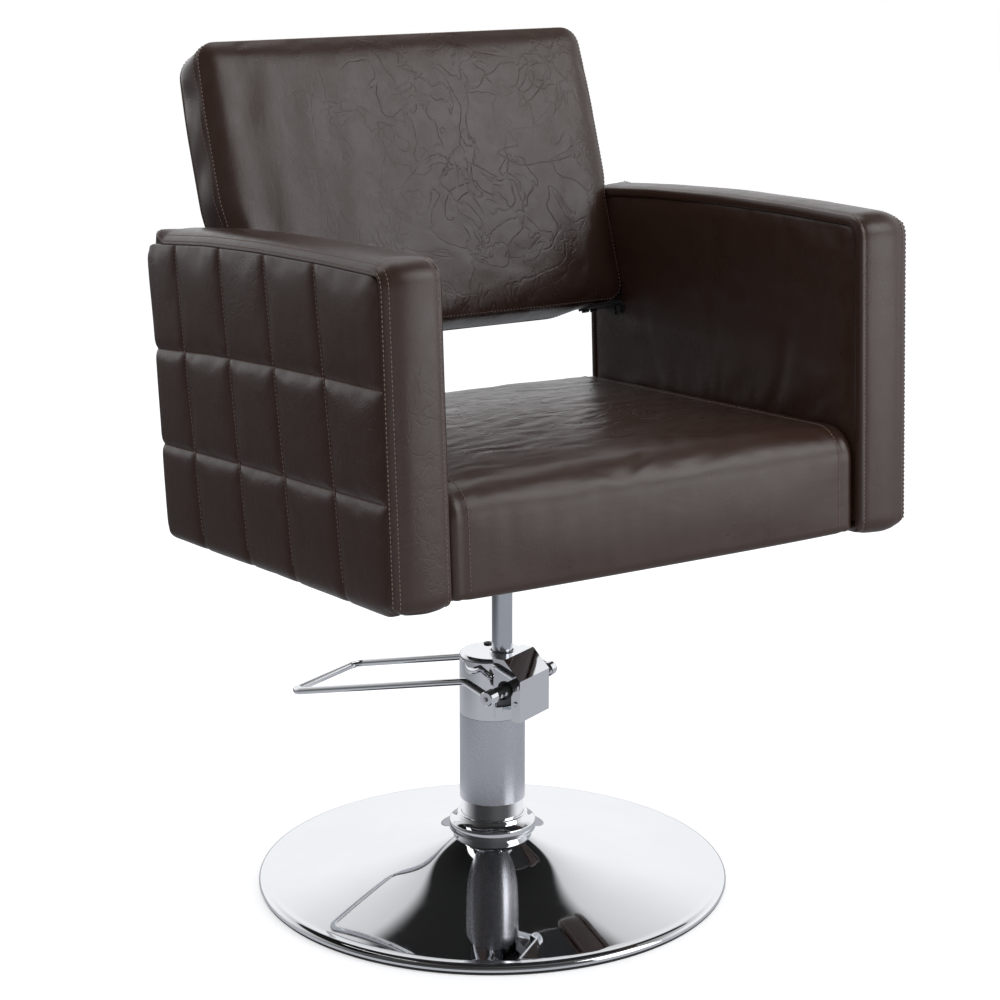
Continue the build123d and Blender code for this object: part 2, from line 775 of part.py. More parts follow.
TAPER_START = 384.0
TAPER_TOP = 428.0
TAPER_R = 10.6
CLIP_Z = (118.8, 120.3)
with BuildPart() as ram:
    with BuildSketch(ram_profile):
        with BuildLine():
            Polyline(
                (0, RAM_BOTTOM),
                (SPIGOT_R, RAM_BOTTOM),
                (SPIGOT_R, CLIP_Z[0]),
                (SPIGOT_R - 1, CLIP_Z[0]),
                (SPIGOT_R - 1, CLIP_Z[1]),
                (SPIGOT_R, CLIP_Z[1]),
                (SPIGOT_R, PISTON_TOP),
                (RAM_R, PISTON_TOP),
                (RAM_R, TAPER_START),
                (TAPER_R, TAPER_TOP),
                (0, TAPER_TOP),
                close=True,
            )
        make_face()
    revolve(axis=ram_axis)
save(ram, "ram")

with BuildPart() as ram_clip:
    with BuildSketch(pump_level(CLIP_Z[0], y=RAM_OFFSET)):
        Circle(SPIGOT_R + 2.5)
        Circle(SPIGOT_R - 1, mode=Mode.SUBTRACT)
        with Locations((0, SPIGOT_R)):
            Rectangle(5, 8, mode=Mode.SUBTRACT)
    extrude(amount=CLIP_Z[1] - CLIP_Z[0])
save(ram_clip, "ram_clip")

# ------------------------------------------------------------------ seat mount
PLATE_T = 5.0
PLATE_HALF = 110.0
HUB_R = 21.0
PLATE_BOLTS = 90.0
plate_under = seat_level(-PLATE_T)

# Taper hub: upright on the ram, cut off on the slant that gives the seat its tilt
with BuildPart() as seat_hub:
    with BuildSketch(ram_profile):
        with BuildLine():
            Polyline(
                (RAM_R + 0.02, HUB_BOTTOM),
                (HUB_R - 3, HUB_BOTTOM),
                (HUB_R, HUB_BOTTOM + 3),
                (HUB_R, SEAT_Z + 10),
                (TAPER_R + 0.02, SEAT_Z + 10),
                (TAPER_R + 0.02, TAPER_TOP),
                (RAM_R + 0.02, TAPER_START),
                close=True,
            )
        make_face()
    revolve(axis=ram_axis)
    # four ribs from the hub out under the plate
    for angle in (45, 135, 225, 315):
        way = radians(angle)
        rib_plane = Plane(
            origin=(ram_point.X, ram_point.Y, 0),
            x_dir=(cos(way), sin(way), 0),
            z_dir=(sin(way), -cos(way), 0),
        )
        with BuildSketch(rib_plane):
            with BuildLine():
                Polyline(
                    (HUB_R - 2, HUB_BOTTOM + 12),
                    (95, SEAT_Z - 16),
                    (95, SEAT_Z + 10),
                    (HUB_R - 2, SEAT_Z + 10),
                    close=True,
                )
            make_face()
        extrude(amount=2.5, both=True)
    split(bisect_by=plate_under, keep=Keep.BOTTOM)
save(seat_hub, "seat_hub")

bolt_square = [(x, y) for x in (-PLATE_BOLTS, PLATE_BOLTS) for y in (-PLATE_BOLTS, PLATE_BOLTS)]
with BuildPart() as mount_plate:
    with BuildSketch(plate_under):
        RectangleRounded(2 * PLATE_HALF, 2 * PLATE_HALF, 14)
        Circle(14, mode=Mode.SUBTRACT)
        with Locations(*bolt_square):
            Circle(BOLT_R + 0.3, mode=Mode.SUBTRACT)
    extrude(amount=PLATE_T)
save(mount_plate, "mount_plate")

with BuildPart() as plate_bolts:
    with BuildSketch(seat_level(-PLATE_T - 5)):
        with Locations(*bolt_square):
            RegularPolygon(radius=7.5, side_count=6)
    extrude(amount=5)
    with BuildSketch(plate_under):
        with Locations(*bolt_square):
            Circle(BOLT_R)
    extrude(amount=PLATE_T + 35)
save(plate_bolts, "plate_bolts")

# ------------------------------------------------------------------ seat
seat_mid_y = (SEAT_FRONT + SEAT_REAR) / 2
frame_depth = SEAT_REAR - SEAT_FRONT - 2 * SKIRT
frame_width = 2 * (SEAT_HALF - SKIRT)

with BuildPart() as seat_frame:
    with BuildSketch(seat_level(0)):
        with Locations((0, seat_mid_y)):
            Rectangle(frame_width, frame_depth)
            Rectangle(frame_width - 2 * RAIL, frame_depth - 2 * RAIL, mode=Mode.SUBTRACT)
        # two cross rails over the plate's bolts
        with Locations((0, -PLATE_BOLTS), (0, PLATE_BOLTS)):
            Rectangle(frame_width - RAIL, 40)
    extrude(amount=RAIL_H)
    with BuildSketch(seat_level(0)):
        with Locations(*bolt_square):
            Circle(BOLT_R)
    extrude(amount=35, mode=Mode.SUBTRACT)
    with BuildSketch(seat_side(-SEAT_HALF)):
        with Locations(*[(y, ARM_BOLT_Z) for y in ARM_BOLT_Y]):
            Circle(BOLT_R)
    extrude(amount=2 * SEAT_HALF, mode=Mode.SUBTRACT)
save(seat_frame, "seat_frame")

with BuildPart() as seat_board:
    with BuildSketch(seat_level(RAIL_H)):
        with Locations((0, seat_mid_y)):
            Rectangle(frame_width, frame_depth)
    extrude(amount=BOARD_T)
save(seat_board, "seat_board")

with BuildPart() as seat_cushion:
    with BuildSketch(seat_level(0)):
        with Locations((0, seat_mid_y)):
            Rectangle(2 * SEAT_HALF, SEAT_REAR - SEAT_FRONT)
    extrude(amount=SEAT_H)
    top_edges = seat_cushion.edges().group_by(Axis((0, 0, 0), seat_plane.z_dir))[-1]
    front_top = top_edges.sort_by(Axis((0, 0, 0), seat_plane.y_dir))[0]
    fillet(front_top, 30)
    with BuildSketch(seat_level(0)):
        with Locations((0, seat_mid_y)):
            Rectangle(frame_width, frame_depth)
    extrude(amount=RAIL_H + BOARD_T, mode=Mode.SUBTRACT)
    with BuildSketch(seat_side(-SEAT_HALF)):
        with Locations(*[(y, ARM_BOLT_Z) for y in ARM_BOLT_Y]):
            Circle(BOLT_R)
    extrude(amount=2 * SEAT_HALF, mode=Mode.SUBTRACT)
save(seat_cushion, "seat_cushion")

LINING_T = 1.2
with BuildPart() as seat_lining:
    with BuildSketch(seat_level(-LINING_T)):
        with Locations((0, seat_mid_y)):
            Rectangle(frame_width + 8, frame_depth + 8)
        Rectangle(2 * PLATE_HALF + 2, 2 * PLATE_HALF + 2, mode=Mode.SUBTRACT)
    extrude(amount=LINING_T)
save(seat_lining, "seat_lining")


# ------------------------------------------------------------------ arms
arm_mid = ((ARM_FRONT + ARM_REAR) / 2, (ARM_LOW + ARM_SHOULDER) / 2)


def arm_outline(inset):
    """Side outline of an arm, drawn in by an inset: an oblong with a slightly crowned top."""
    with BuildSketch() as outline:
        with BuildLine():
            crown = ThreePointArc(
                (ARM_REAR - inset, ARM_SHOULDER - inset),
                (arm_mid[0], ARM_TOP - inset),
                (ARM_FRONT + inset, ARM_SHOULDER - inset),
            )
            Polyline(
                crown @ 1,
                (ARM_FRONT + inset, ARM_LOW + inset),
                (ARM_REAR - inset, ARM_LOW + inset),
                crown @ 0,
            )
        make_face()
        corners = outline.vertices().sort_by(Axis.Y)
        fillet(corners[2:], ARM_TOP_R - inset)
        fillet(corners[:2], ARM_LOW_R - inset)
    return outline.sketch


arm_skin = arm_outline(0)
arm_core = arm_outline(BAND_T)


def arm_bores(start_x, length):
    """Bores through the open part for the arm's bolts and for the backrest's screws."""
    with BuildSketch(seat_side(start_x)) as bolt_bores:
        with Locations(*[(y, ARM_BOLT_Z) for y in ARM_BOLT_Y]):
            Circle(BOLT_R)
    extrude(bolt_bores.sketch, amount=length, mode=Mode.SUBTRACT)
    for depth in ANGLE_SCREW_DEPTHS:
        with BuildSketch(back_side(start_x, ANGLE_SCREW_UP, depth)) as screw_bore:
            Circle(SCREW_R)
        extrude(screw_bore.sketch, amount=length, mode=Mode.SUBTRACT)


ARM_RAIL = 38.0
ARM_WINDOW_FRONT = ARM_FRONT + BAND_T + ARM_RAIL
ARM_WINDOW_REAR = 112.0
QUILT_COLUMNS = 5
QUILT_ROWS = 3
GROOVE = 4.0

for side, word in ((-1, "left"), (1, "right")):
    inner_x = side * ARM_INNER
    outer_x = side * ARM_OUTER
    # band of leatherette and thin foam that wraps the front, top, rear and underside
    with BuildPart() as arm_band:
        with BuildSketch(seat_side(inner_x)):
            add(arm_skin)
            add(arm_core, mode=Mode.SUBTRACT)
        extrude(amount=side * ARM_T)
        cheeks = arm_band.faces().sort_by(Axis.X)
        rims = [cheeks[0].outer_wire().edges(), cheeks[-1].outer_wire().edges()]
        fillet(rims[0] + rims[1], 4)
    save(arm_band, f"arm_band_{word}")

    # open timber frame inside the arm: a broad rear post takes the backrest's screws
    with BuildPart() as arm_frame:
        with BuildSketch(seat_side(inner_x + side * INNER_PANEL_T)):
            add(arm_core)
            with Locations(((ARM_WINDOW_FRONT + ARM_WINDOW_REAR) / 2, arm_mid[1])):
                Rectangle(
                    ARM_WINDOW_REAR - ARM_WINDOW_FRONT,
                    ARM_SHOULDER - ARM_LOW - 2 * (BAND_T + ARM_RAIL),
                    mode=Mode.SUBTRACT,
                )
        extrude(amount=side * (ARM_T - INNER_PANEL_T - OUTER_PANEL_T))
        arm_bores(inner_x, side * (INNER_PANEL_T + THREAD_DEPTH))
    save(arm_frame, f"arm_frame_{word}")

    with BuildPart() as arm_inner_panel:
        with BuildSketch(seat_side(inner_x)):
            add(arm_core)
        extrude(amount=side * INNER_PANEL_T)
        arm_bores(inner_x, side * INNER_PANEL_T)
    save(arm_inner_panel, f"arm_inner_panel_{word}")

    # outer panel, quilted in a grid of pads by sewn grooves
    with BuildPart() as arm_outer_panel:
        with BuildSketch(seat_side(outer_x)):
            add(arm_core)
        extrude(amount=-side * OUTER_PANEL_T)
        pad_w = (ARM_REAR - ARM_FRONT) / QUILT_COLUMNS
        pad_h = (ARM_TOP - ARM_LOW) / QUILT_ROWS
        with BuildSketch(seat_side(outer_x)):
            with Locations(*[(ARM_FRONT + pad_w * n, arm_mid[1]) for n in range(1, QUILT_COLUMNS)]):
                Rectangle(GROOVE, ARM_TOP - ARM_LOW)
            with Locations(*[(arm_mid[0], ARM_LOW + pad_h * n) for n in range(1, QUILT_ROWS)]):
                Rectangle(ARM_REAR - ARM_FRONT, GROOVE)
        extrude(amount=-side * 3, taper=25, mode=Mode.SUBTRACT)
    save(arm_outer_panel, f"arm_outer_panel_{word}")

    # bolts from inside the seat rail into the arm
    rail_inner = side * (SEAT_HALF - SKIRT - RAIL)
    with BuildPart() as arm_bolts:
        with BuildSketch(seat_side(rail_inner)):
            with Locations(*[(y, ARM_BOLT_Z) for y in ARM_BOLT_Y]):
                Circle(8)
        extrude(amount=-side * 4)
        with BuildSketch(seat_side(rail_inner)):
            with Locations(*[(y, ARM_BOLT_Z) for y in ARM_BOLT_Y]):
                Circle(BOLT_R)
        extrude(amount=inner_x + side * (INNER_PANEL_T + THREAD_DEPTH) - rail_inner)
    save(arm_bolts, f"arm_bolts_{word}")

# ------------------------------------------------------------------ backrest
back_mid = (0, BACK_H / 2)
board_screws = [(side * x, 0) for side in (-1, 1) for x in BOARD_SCREW_X]

with BuildPart() as back_cushion:
    with BuildSketch(back_plane.offset(BACK_PANEL_T - BACK_T)):
        with Locations(back_mid):
            RectangleRounded(2 * BACK_HALF, BACK_H, BACK_CORNER)
    extrude(amount=BACK_T - BACK_PANEL_T)
    front_rim = back_cushion.faces().sort_by(Axis((0, 0, 0), back_normal))[-1].edges()
    fillet(front_rim, 7)
    with BuildSketch(back_plane.offset(BACK_PANEL_T - BACK_T)):
        with Locations(back_mid):
            RectangleRounded(2 * BACK_HALF - 2 * POCKET_INSET, BACK_H - 2 * POCKET_INSET, 4)
    extrude(amount=BOARD_T, mode=Mode.SUBTRACT)
    with BuildSketch(back_under(BOARD_SCREW_DEPTH, 0)):
        with Locations(*board_screws):
            Circle(SCREW_R)
    extrude(amount=POCKET_INSET, mode=Mode.SUBTRACT)
save(back_cushion, "back_cushion")

with BuildPart() as back_board:
    with BuildSketch(back_plane.offset(BACK_PANEL_T - BACK_T)):
        with Locations(back_mid):
            RectangleRounded(2 * BACK_HALF - 2 * POCKET_INSET, BACK_H - 2 * POCKET_INSET, 4)
    extrude(amount=BOARD_T)
    with BuildSketch(back_under(BOARD_SCREW_DEPTH, POCKET_INSET)):
        with Locations(*board_screws):
            Circle(SCREW_R)
    extrude(amount=THREAD_DEPTH, mode=Mode.SUBTRACT)
save(back_board, "back_board")

with BuildPart() as back_panel:
    with BuildSketch(back_plane.offset(-BACK_T)):
        with Locations((0, (BACK_H - BACK_PANEL_DROP) / 2)):
            RectangleRounded(2 * BACK_HALF, BACK_H + BACK_PANEL_DROP, BACK_CORNER)
    extrude(amount=BACK_PANEL_T)
    rear_rim = back_panel.faces().sort_by(Axis((0, 0, 0), back_normal))[0].edges()
    fillet(rear_rim, 5)
save(back_panel, "back_panel")

# Steel angles under the lower corners: they hold the backrest between the arms
for side, word in ((-1, "left"), (1, "right")):
    wall_x = side * (ARM_INNER - 0.1)
    with BuildPart() as back_angle:
        with BuildSketch(back_side(wall_x, 0, 0)):
            with BuildLine():
                Polyline(
                    (0, ANGLE_REAR),
                    (0, ANGLE_FRONT),
                    (-6, ANGLE_FRONT),
                    (-ANGLE_DROP, ANGLE_FRONT - 4),
                    (-ANGLE_DROP, ANGLE_REAR + 14),
                    (-6, ANGLE_REAR),
                    close=True,
                )
            make_face()
        extrude(amount=-side * ANGLE_T)
        with BuildSketch(back_under(ANGLE_REAR, -ANGLE_T)):
            with Locations((wall_x - side * ANGLE_W / 2, (ANGLE_REAR - ANGLE_FRONT) / 2)):
                Rectangle(ANGLE_W, ANGLE_FRONT - ANGLE_REAR)
        extrude(amount=ANGLE_T)
        for depth in ANGLE_SCREW_DEPTHS:
            with BuildSketch(back_side(wall_x, ANGLE_SCREW_UP, depth)):
                Circle(SCREW_R)
            extrude(amount=-side * ANGLE_T, mode=Mode.SUBTRACT)
        with BuildSketch(back_under(BOARD_SCREW_DEPTH, -ANGLE_T)):
            with Locations(*[(side * x, 0) for x in BOARD_SCREW_X]):
                Circle(SCREW_R)
        extrude(amount=ANGLE_T, mode=Mode.SUBTRACT)
    save(back_angle, f"back_angle_{word}")

    with BuildPart() as back_screws:
        for depth in ANGLE_SCREW_DEPTHS:
            with BuildSketch(back_side(wall_x - side * ANGLE_T, ANGLE_SCREW_UP, depth)):
                Circle(4.6)
            extrude(amount=-side * 2.6)
            with BuildSketch(back_side(wall_x - side * ANGLE_T, ANGLE_SCREW_UP, depth)):
                Circle(SCREW_R)
            extrude(amount=side * (ANGLE_T + INNER_PANEL_T + THREAD_DEPTH))
        with BuildSketch(back_under(BOARD_SCREW_DEPTH, -ANGLE_T)):
            with Locations(*[(side * x, 0) for x in BOARD_SCREW_X]):
                Circle(4.6)
        extrude(amount=-2.6)
        with BuildSketch(back_under(BOARD_SCREW_DEPTH, -ANGLE_T)):
            with Locations(*[(side * x, 0) for x in BOARD_SCREW_X]):
                Circle(SCREW_R)
        extrude(amount=ANGLE_T + POCKET_INSET + THREAD_DEPTH - 2)
    save(back_screws, f"back_screws_{word}")
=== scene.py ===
import math

import bmesh
import bpy
import numpy as np
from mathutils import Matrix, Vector
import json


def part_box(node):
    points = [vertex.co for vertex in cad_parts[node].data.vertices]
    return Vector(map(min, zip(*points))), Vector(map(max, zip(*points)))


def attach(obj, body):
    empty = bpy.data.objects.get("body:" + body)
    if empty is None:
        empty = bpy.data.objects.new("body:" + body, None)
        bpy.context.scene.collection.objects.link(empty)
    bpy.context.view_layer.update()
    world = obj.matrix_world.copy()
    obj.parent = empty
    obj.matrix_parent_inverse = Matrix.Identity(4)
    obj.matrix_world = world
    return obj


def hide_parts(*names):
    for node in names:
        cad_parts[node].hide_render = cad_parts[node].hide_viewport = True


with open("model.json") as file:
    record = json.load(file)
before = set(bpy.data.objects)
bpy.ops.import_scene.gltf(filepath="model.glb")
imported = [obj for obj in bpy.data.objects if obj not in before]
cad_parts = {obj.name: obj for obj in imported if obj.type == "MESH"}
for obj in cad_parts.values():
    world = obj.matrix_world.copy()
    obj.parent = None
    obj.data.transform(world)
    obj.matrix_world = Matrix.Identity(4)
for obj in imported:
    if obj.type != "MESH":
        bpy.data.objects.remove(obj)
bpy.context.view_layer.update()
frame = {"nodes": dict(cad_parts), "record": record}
nodes = frame["nodes"]
scene = bpy.context.scene
scene.view_settings.view_transform = "Standard"

# ---------------------------------------------------------------- camera
camera_data = bpy.data.cameras.new("camera")
camera_data.lens = 87.27
camera_data.sensor_width = 36
camera = bpy.data.objects.new("camera", camera_data)
scene.collection.objects.link(camera)
camera.location = (-1.4159, -2.2640, 1.1420)
camera.rotation_mode = "QUATERNION"
camera.rotation_quaternion = Vector((0.5164, 0.8196, -0.2481)).to_track_quat("-Z", "Y")
camera_data.clip_end = 50
scene.camera = camera


# ---------------------------------------------------------------- node helpers
class Shader:
    """The node tree of a material or a world, with short calls for the nodes that they share."""

    def __init__(self, owner):
        owner.use_nodes = True
        self.owner, self.tree = owner, owner.node_tree
        self.tree.nodes.clear()

    @classmethod
    def material(cls, name):
        return cls(bpy.data.materials.new(name))

    def node(self, kind, settings=None, **inputs):
        made = self.tree.nodes.new("ShaderNode" + kind)
        for key, value in (settings or {}).items():
            setattr(made, key, value)
        for key, value in inputs.items():
            self.feed(made, key.replace("_", " "), value)
        return made

    def feed(self, node, socket, value):
        if isinstance(socket, str):
            socket = next(s for s in node.inputs if s.name.lower() == socket.lower() and s.enabled)
        else:
            socket = node.inputs[socket]
        if isinstance(value, bpy.types.NodeSocket):
            self.tree.links.new(value, socket)
        else:
            socket.default_value = value

    def math(self, operation, a, b=0.0, c=0.0):
        made = self.tree.nodes.new("ShaderNodeMath")
        made.operation = operation
        for number, value in enumerate((a, b, c)):
            self.feed(made, number, value)
        return made.outputs[0]

    def band(self, value, low, high, to_low=0.0, to_high=1.0):
        made = self.node("MapRange", {"interpolation_type": "SMOOTHSTEP"})
        for number, part in enumerate((value, low, high, to_low, to_high)):
            self.feed(made, number, part)
        return made.outputs[0]

    def blend(self, share, a, b):
        made = self.tree.nodes.new("ShaderNodeMix")
        made.data_type = "RGBA"
        for socket, value in zip((made.inputs[0], made.inputs[6], made.inputs[7]), (share, a, b)):
            if isinstance(value, bpy.types.NodeSocket):
                self.tree.links.new(value, socket)
            else:
                socket.default_value = value
        return made.outputs[2]

    def coordinates(self, source):
        return self.tree.nodes.new("ShaderNodeTexCoord").outputs[source]

    def place(self, scale=(1, 1, 1)):
        return self.node("Mapping", None, Vector=self.coordinates("Object"), Scale=scale).outputs[0]

    def noise(self, where, scale, detail=3.0, rough=0.5, warp=0.0):
        made = self.node("TexNoise", None, Vector=where, Scale=scale, Detail=detail)
        made.inputs["Roughness"].default_value = rough
        made.inputs["Distortion"].default_value = warp
        return made.outputs[0]

    def bump(self, height, strength, distance, normal=None):
        made = self.node("Bump", None, Height=height, Strength=strength, Distance=distance)
        if normal is not None:
            self.tree.links.new(normal, made.inputs["Normal"])
        return made.outputs[0]

    def rays(self):
        """Shares of camera rays, and of rays mirrored or let through by a surface."""
        path = self.tree.nodes.new("ShaderNodeLightPath")
        return (path.outputs["Is Camera Ray"],
                self.math("MAXIMUM", path.outputs["Is Glossy Ray"], path.outputs["Is Transmission Ray"]))

    def join(self, kind, *inputs):
        """A shader made from others: a mix by a share, or a sum."""
        made = self.tree.nodes.new("ShaderNode" + kind)
        for number, value in enumerate(inputs):
            self.tree.links.new(value, made.inputs[number])
        return made.outputs[0]

    def surface(self, shader, kind="Material"):
        out = self.tree.nodes.new("ShaderNodeOutput" + kind)
        self.tree.links.new(shader, out.inputs["Surface"])
        return self.owner


def metal(name, colour, roughness, spread, grain, grain_stretch=(1, 1, 1), grain_depth=0.00003):
    """Plated or ground metal: slight colour and gloss changes, and a fine directional grain."""
    s = Shader.material(name)
    where = s.place()
    cloud = s.noise(where, 9.0, 4.0, 0.6)
    fine = s.noise(s.place(scale=grain_stretch), grain, 3.0, 0.6)
    low = [c * 0.93 for c in colour] + [1]
    high = [min(1.0, c * 1.04) for c in colour] + [1]
    bsdf = s.node("BsdfPrincipled")
    s.feed(bsdf, "Base Color", s.blend(cloud, low, high))
    bsdf.inputs["Metallic"].default_value = 1.0
    s.feed(bsdf, "Roughness", s.band(s.math("MULTIPLY_ADD", fine, 0.6, s.math("MULTIPLY", cloud, 0.4)),
                                     0.3, 0.7, max(0.0, roughness - spread), roughness + spread))
    s.feed(bsdf, "Normal", s.bump(fine, 0.25, grain_depth))
    return s.surface(bsdf.outputs[0])


materials = {
    "mirror_chrome": metal("mirror_chrome", (0.88, 0.89, 0.91), 0.03, 0.015, 60.0, grain_depth=0.000004),
    "satin_chrome": metal("satin_chrome", (0.68, 0.69, 0.74), 0.27, 0.015, 900.0, grain_depth=0.000006),
    "ram_steel": metal("ram_steel", (0.62, 0.64, 0.68), 0.14, 0.04, 300.0, (1, 1, 0.1)),
    "plain_steel": metal("plain_steel", (0.48, 0.48, 0.49), 0.28, 0.08, 240.0),
    "iron": metal("iron", (0.20, 0.20, 0.21), 0.45, 0.1, 160.0),
    "bronze": metal("bronze", (0.50, 0.36, 0.18), 0.35, 0.08, 200.0),
}


def coat(name, field, dark, light, gloss, relief, strength, depth):
    """Paint, rubber or thread: one noise for its colour and gloss, and one for its relief."""
    s = Shader.material(name)
    cloud = s.noise(s.place(), *field)
    bsdf = s.node("BsdfPrincipled")
    s.feed(bsdf, "Base Color", s.blend(cloud, dark, light))
    s.feed(bsdf, "Roughness", s.band(cloud, 0.3, 0.7, *gloss))
    s.feed(bsdf, "Normal", s.bump(s.noise(s.place(), *relief), strength, depth))
    return s.surface(bsdf.outputs[0])


def timber():
    s = Shader.material("timber")
    rings = s.noise(s.place(scale=(3, 40, 40)), 3.0, 6.0, 0.6, 0.4)
    bsdf = s.node("BsdfPrincipled")
    s.feed(bsdf, "Base Color", s.blend(s.band(rings, 0.3, 0.7), (0.36, 0.23, 0.12, 1), (0.60, 0.43, 0.26, 1)))
    s.feed(bsdf, "Roughness", s.band(rings, 0.2, 0.8, 0.55, 0.75))
    s.feed(bsdf, "Normal", s.bump(rings, 0.2, 0.0003))
    return s.surface(bsdf.outputs[0])


def dust_cloth():
    s = Shader.material("lining")
    web = s.noise(s.place(), 500.0, 5.0, 0.7)
    bsdf = s.node("BsdfPrincipled")
    s.feed(bsdf, "Base Color", s.blend(web, (0.010, 0.010, 0.011, 1), (0.030, 0.030, 0.032, 1)))
    bsdf.inputs["Roughness"].default_value = 0.9
    s.feed(bsdf, "Normal", s.bump(web, 0.5, 0.0002))
    return s.surface(bsdf.outputs[0])


materials["black_steel"] = coat("black_steel", (60.0, 4.0), (0.012, 0.012, 0.013, 1),
                                (0.035, 0.034, 0.034, 1), (0.32, 0.5), (900.0, 2.0), 0.2, 0.00005)
materials["rubber"] = coat("rubber", (30.0, 5.0), (0.008, 0.008, 0.009, 1), (0.022, 0.021, 0.021, 1),
                           (0.45, 0.65), (700.0, 3.0), 0.3, 0.0001)
materials["thread"] = coat("thread", (1500.0, 2.0), (0.13, 0.082, 0.064, 1), (0.26, 0.18, 0.145, 1),
                           (0.5, 0.7), (1500.0, 2.0), 0.4, 0.0001)
materials["timber"] = timber()
materials["lining"] = dust_cloth()

node_slots = {part["node"]: part["material_slot"] for part in frame["record"]["subparts"]}


# ---------------------------------------------------------------- studio
# Camera rays see a white room. Mirrored rays see it too, but dimmer to the left and behind the
# camera, where a studio has its dark side, and dark above the backdrop.
FLOOR_REACH = 9.0
FLOOR_DROP = 0.0002


def studio_floor():
    mesh = bpy.data.meshes.new("floor")
    corners = [(x * FLOOR_REACH, y * FLOOR_REACH, 0) for x, y in ((-1, -1), (1, -1), (1, 1), (-1, 1))]
    mesh.from_pydata(corners, [], [(0, 1, 2, 3)])
    floor = bpy.data.objects.new("floor", mesh)
    floor.location.z = -FLOOR_DROP
    scene.collection.objects.link(floor)
    s = Shader.material("floor")
    x, y = s.node("SeparateXYZ", None, Vector=s.coordinates("Object")).outputs[:2]
    # how far a spot lies to the front right of the chair, and how far to its left and rear
    front = s.band(s.math("MULTIPLY_ADD", x, 0.45, s.math("MULTIPLY", y, -0.9)), 1.2, 5.0)
    left = s.band(s.math("MULTIPLY_ADD", x, -0.8, s.math("MULTIPLY", y, 0.6)), 0.35, 1.3)
    shown = s.math("MULTIPLY", s.math("MULTIPLY_ADD", front, 0.75, 0.48),
                   s.math("MULTIPLY_ADD", left, -0.78, 1.0))
    seen, mirrored = s.rays()
    # the room's reflection is a little cool
    glow = s.node("Emission", None, Color=s.blend(seen, (0.91, 0.94, 1.0, 1), (1, 1, 1, 1)),
                  Strength=s.math("MULTIPLY_ADD", seen, 0.52, s.math("MULTIPLY", mirrored, shown)))
    diffuse = s.node("BsdfDiffuse", None, Color=(0.86, 0.86, 0.87, 1))
    lit = s.join("MixShader", mirrored, diffuse.outputs[0])
    mesh.materials.append(s.surface(s.join("AddShader", lit, glow.outputs[0])))


def studio_world():
    scene.world = bpy.data.worlds.new("studio")
    s = Shader(scene.world)
    x, y, z = s.node("SeparateXYZ", None, Vector=s.coordinates("Generated")).outputs
    back_right = s.math("MULTIPLY_ADD", x, 0.55, s.math("MULTIPLY", y, 0.83))
    wall = s.band(back_right, -0.6, 0.45, 0.1, 1.0)
    left = s.band(x, -0.9, -0.2, 0.5, 1.0)
    high = s.band(z, 0.4, 0.85, 1.0, 0.25)
    # above the backdrop the room is dark, which the dish mirrors under the seat
    ceiling = s.math("MULTIPLY", s.band(y, 0.1, 0.3), s.band(z, 0.615, 0.64))
    open_wall = s.math("MULTIPLY_ADD", ceiling, -0.97, 1.0)
    mirror = s.math("MULTIPLY", s.math("MULTIPLY", s.math("MULTIPLY", wall, left), high), open_wall)
    seen, mirrored = s.rays()
    soft = s.node("Background", None, Color=(0.95, 0.96, 1.0, 1), Strength=0.62)
    white = s.node("Background", None, Color=(1, 1, 1, 1), Strength=1.0)
    room = s.node("Background", None, Color=(0.98, 0.99, 1.0, 1), Strength=mirror)
    shown = s.join("MixShader", seen, soft.outputs[0], white.outputs[0])
    s.surface(s.join("MixShader", mirrored, shown, room.outputs[0]), "World")


def softbox(name, place, aim, width, height, power):
    data = bpy.data.lights.new(name, "AREA")
    data.shape = "RECTANGLE"
    data.size = width
    data.size_y = height
    data.energy = power
    lamp = bpy.data.objects.new(name, data)
    scene.collection.objects.link(lamp)
    lamp.location = place
    lamp.rotation_mode = "QUATERNION"
    lamp.rotation_quaternion = (Vector(aim) - Vector(place)).to_track_quat("-Z", "Y")


studio_floor()
studio_world()
softbox("key", (1.7, -2.2, 2.4), (0, 0, 0.5), 1.8, 1.6, 25)
softbox("top", (0.2, 0.9, 3.0), (0, 0, 0.4), 2.4, 1.6, 20)
softbox("low", (1.5, -2.4, 0.75), (0, -0.2, 0.55), 1.8, 1.0, 11)


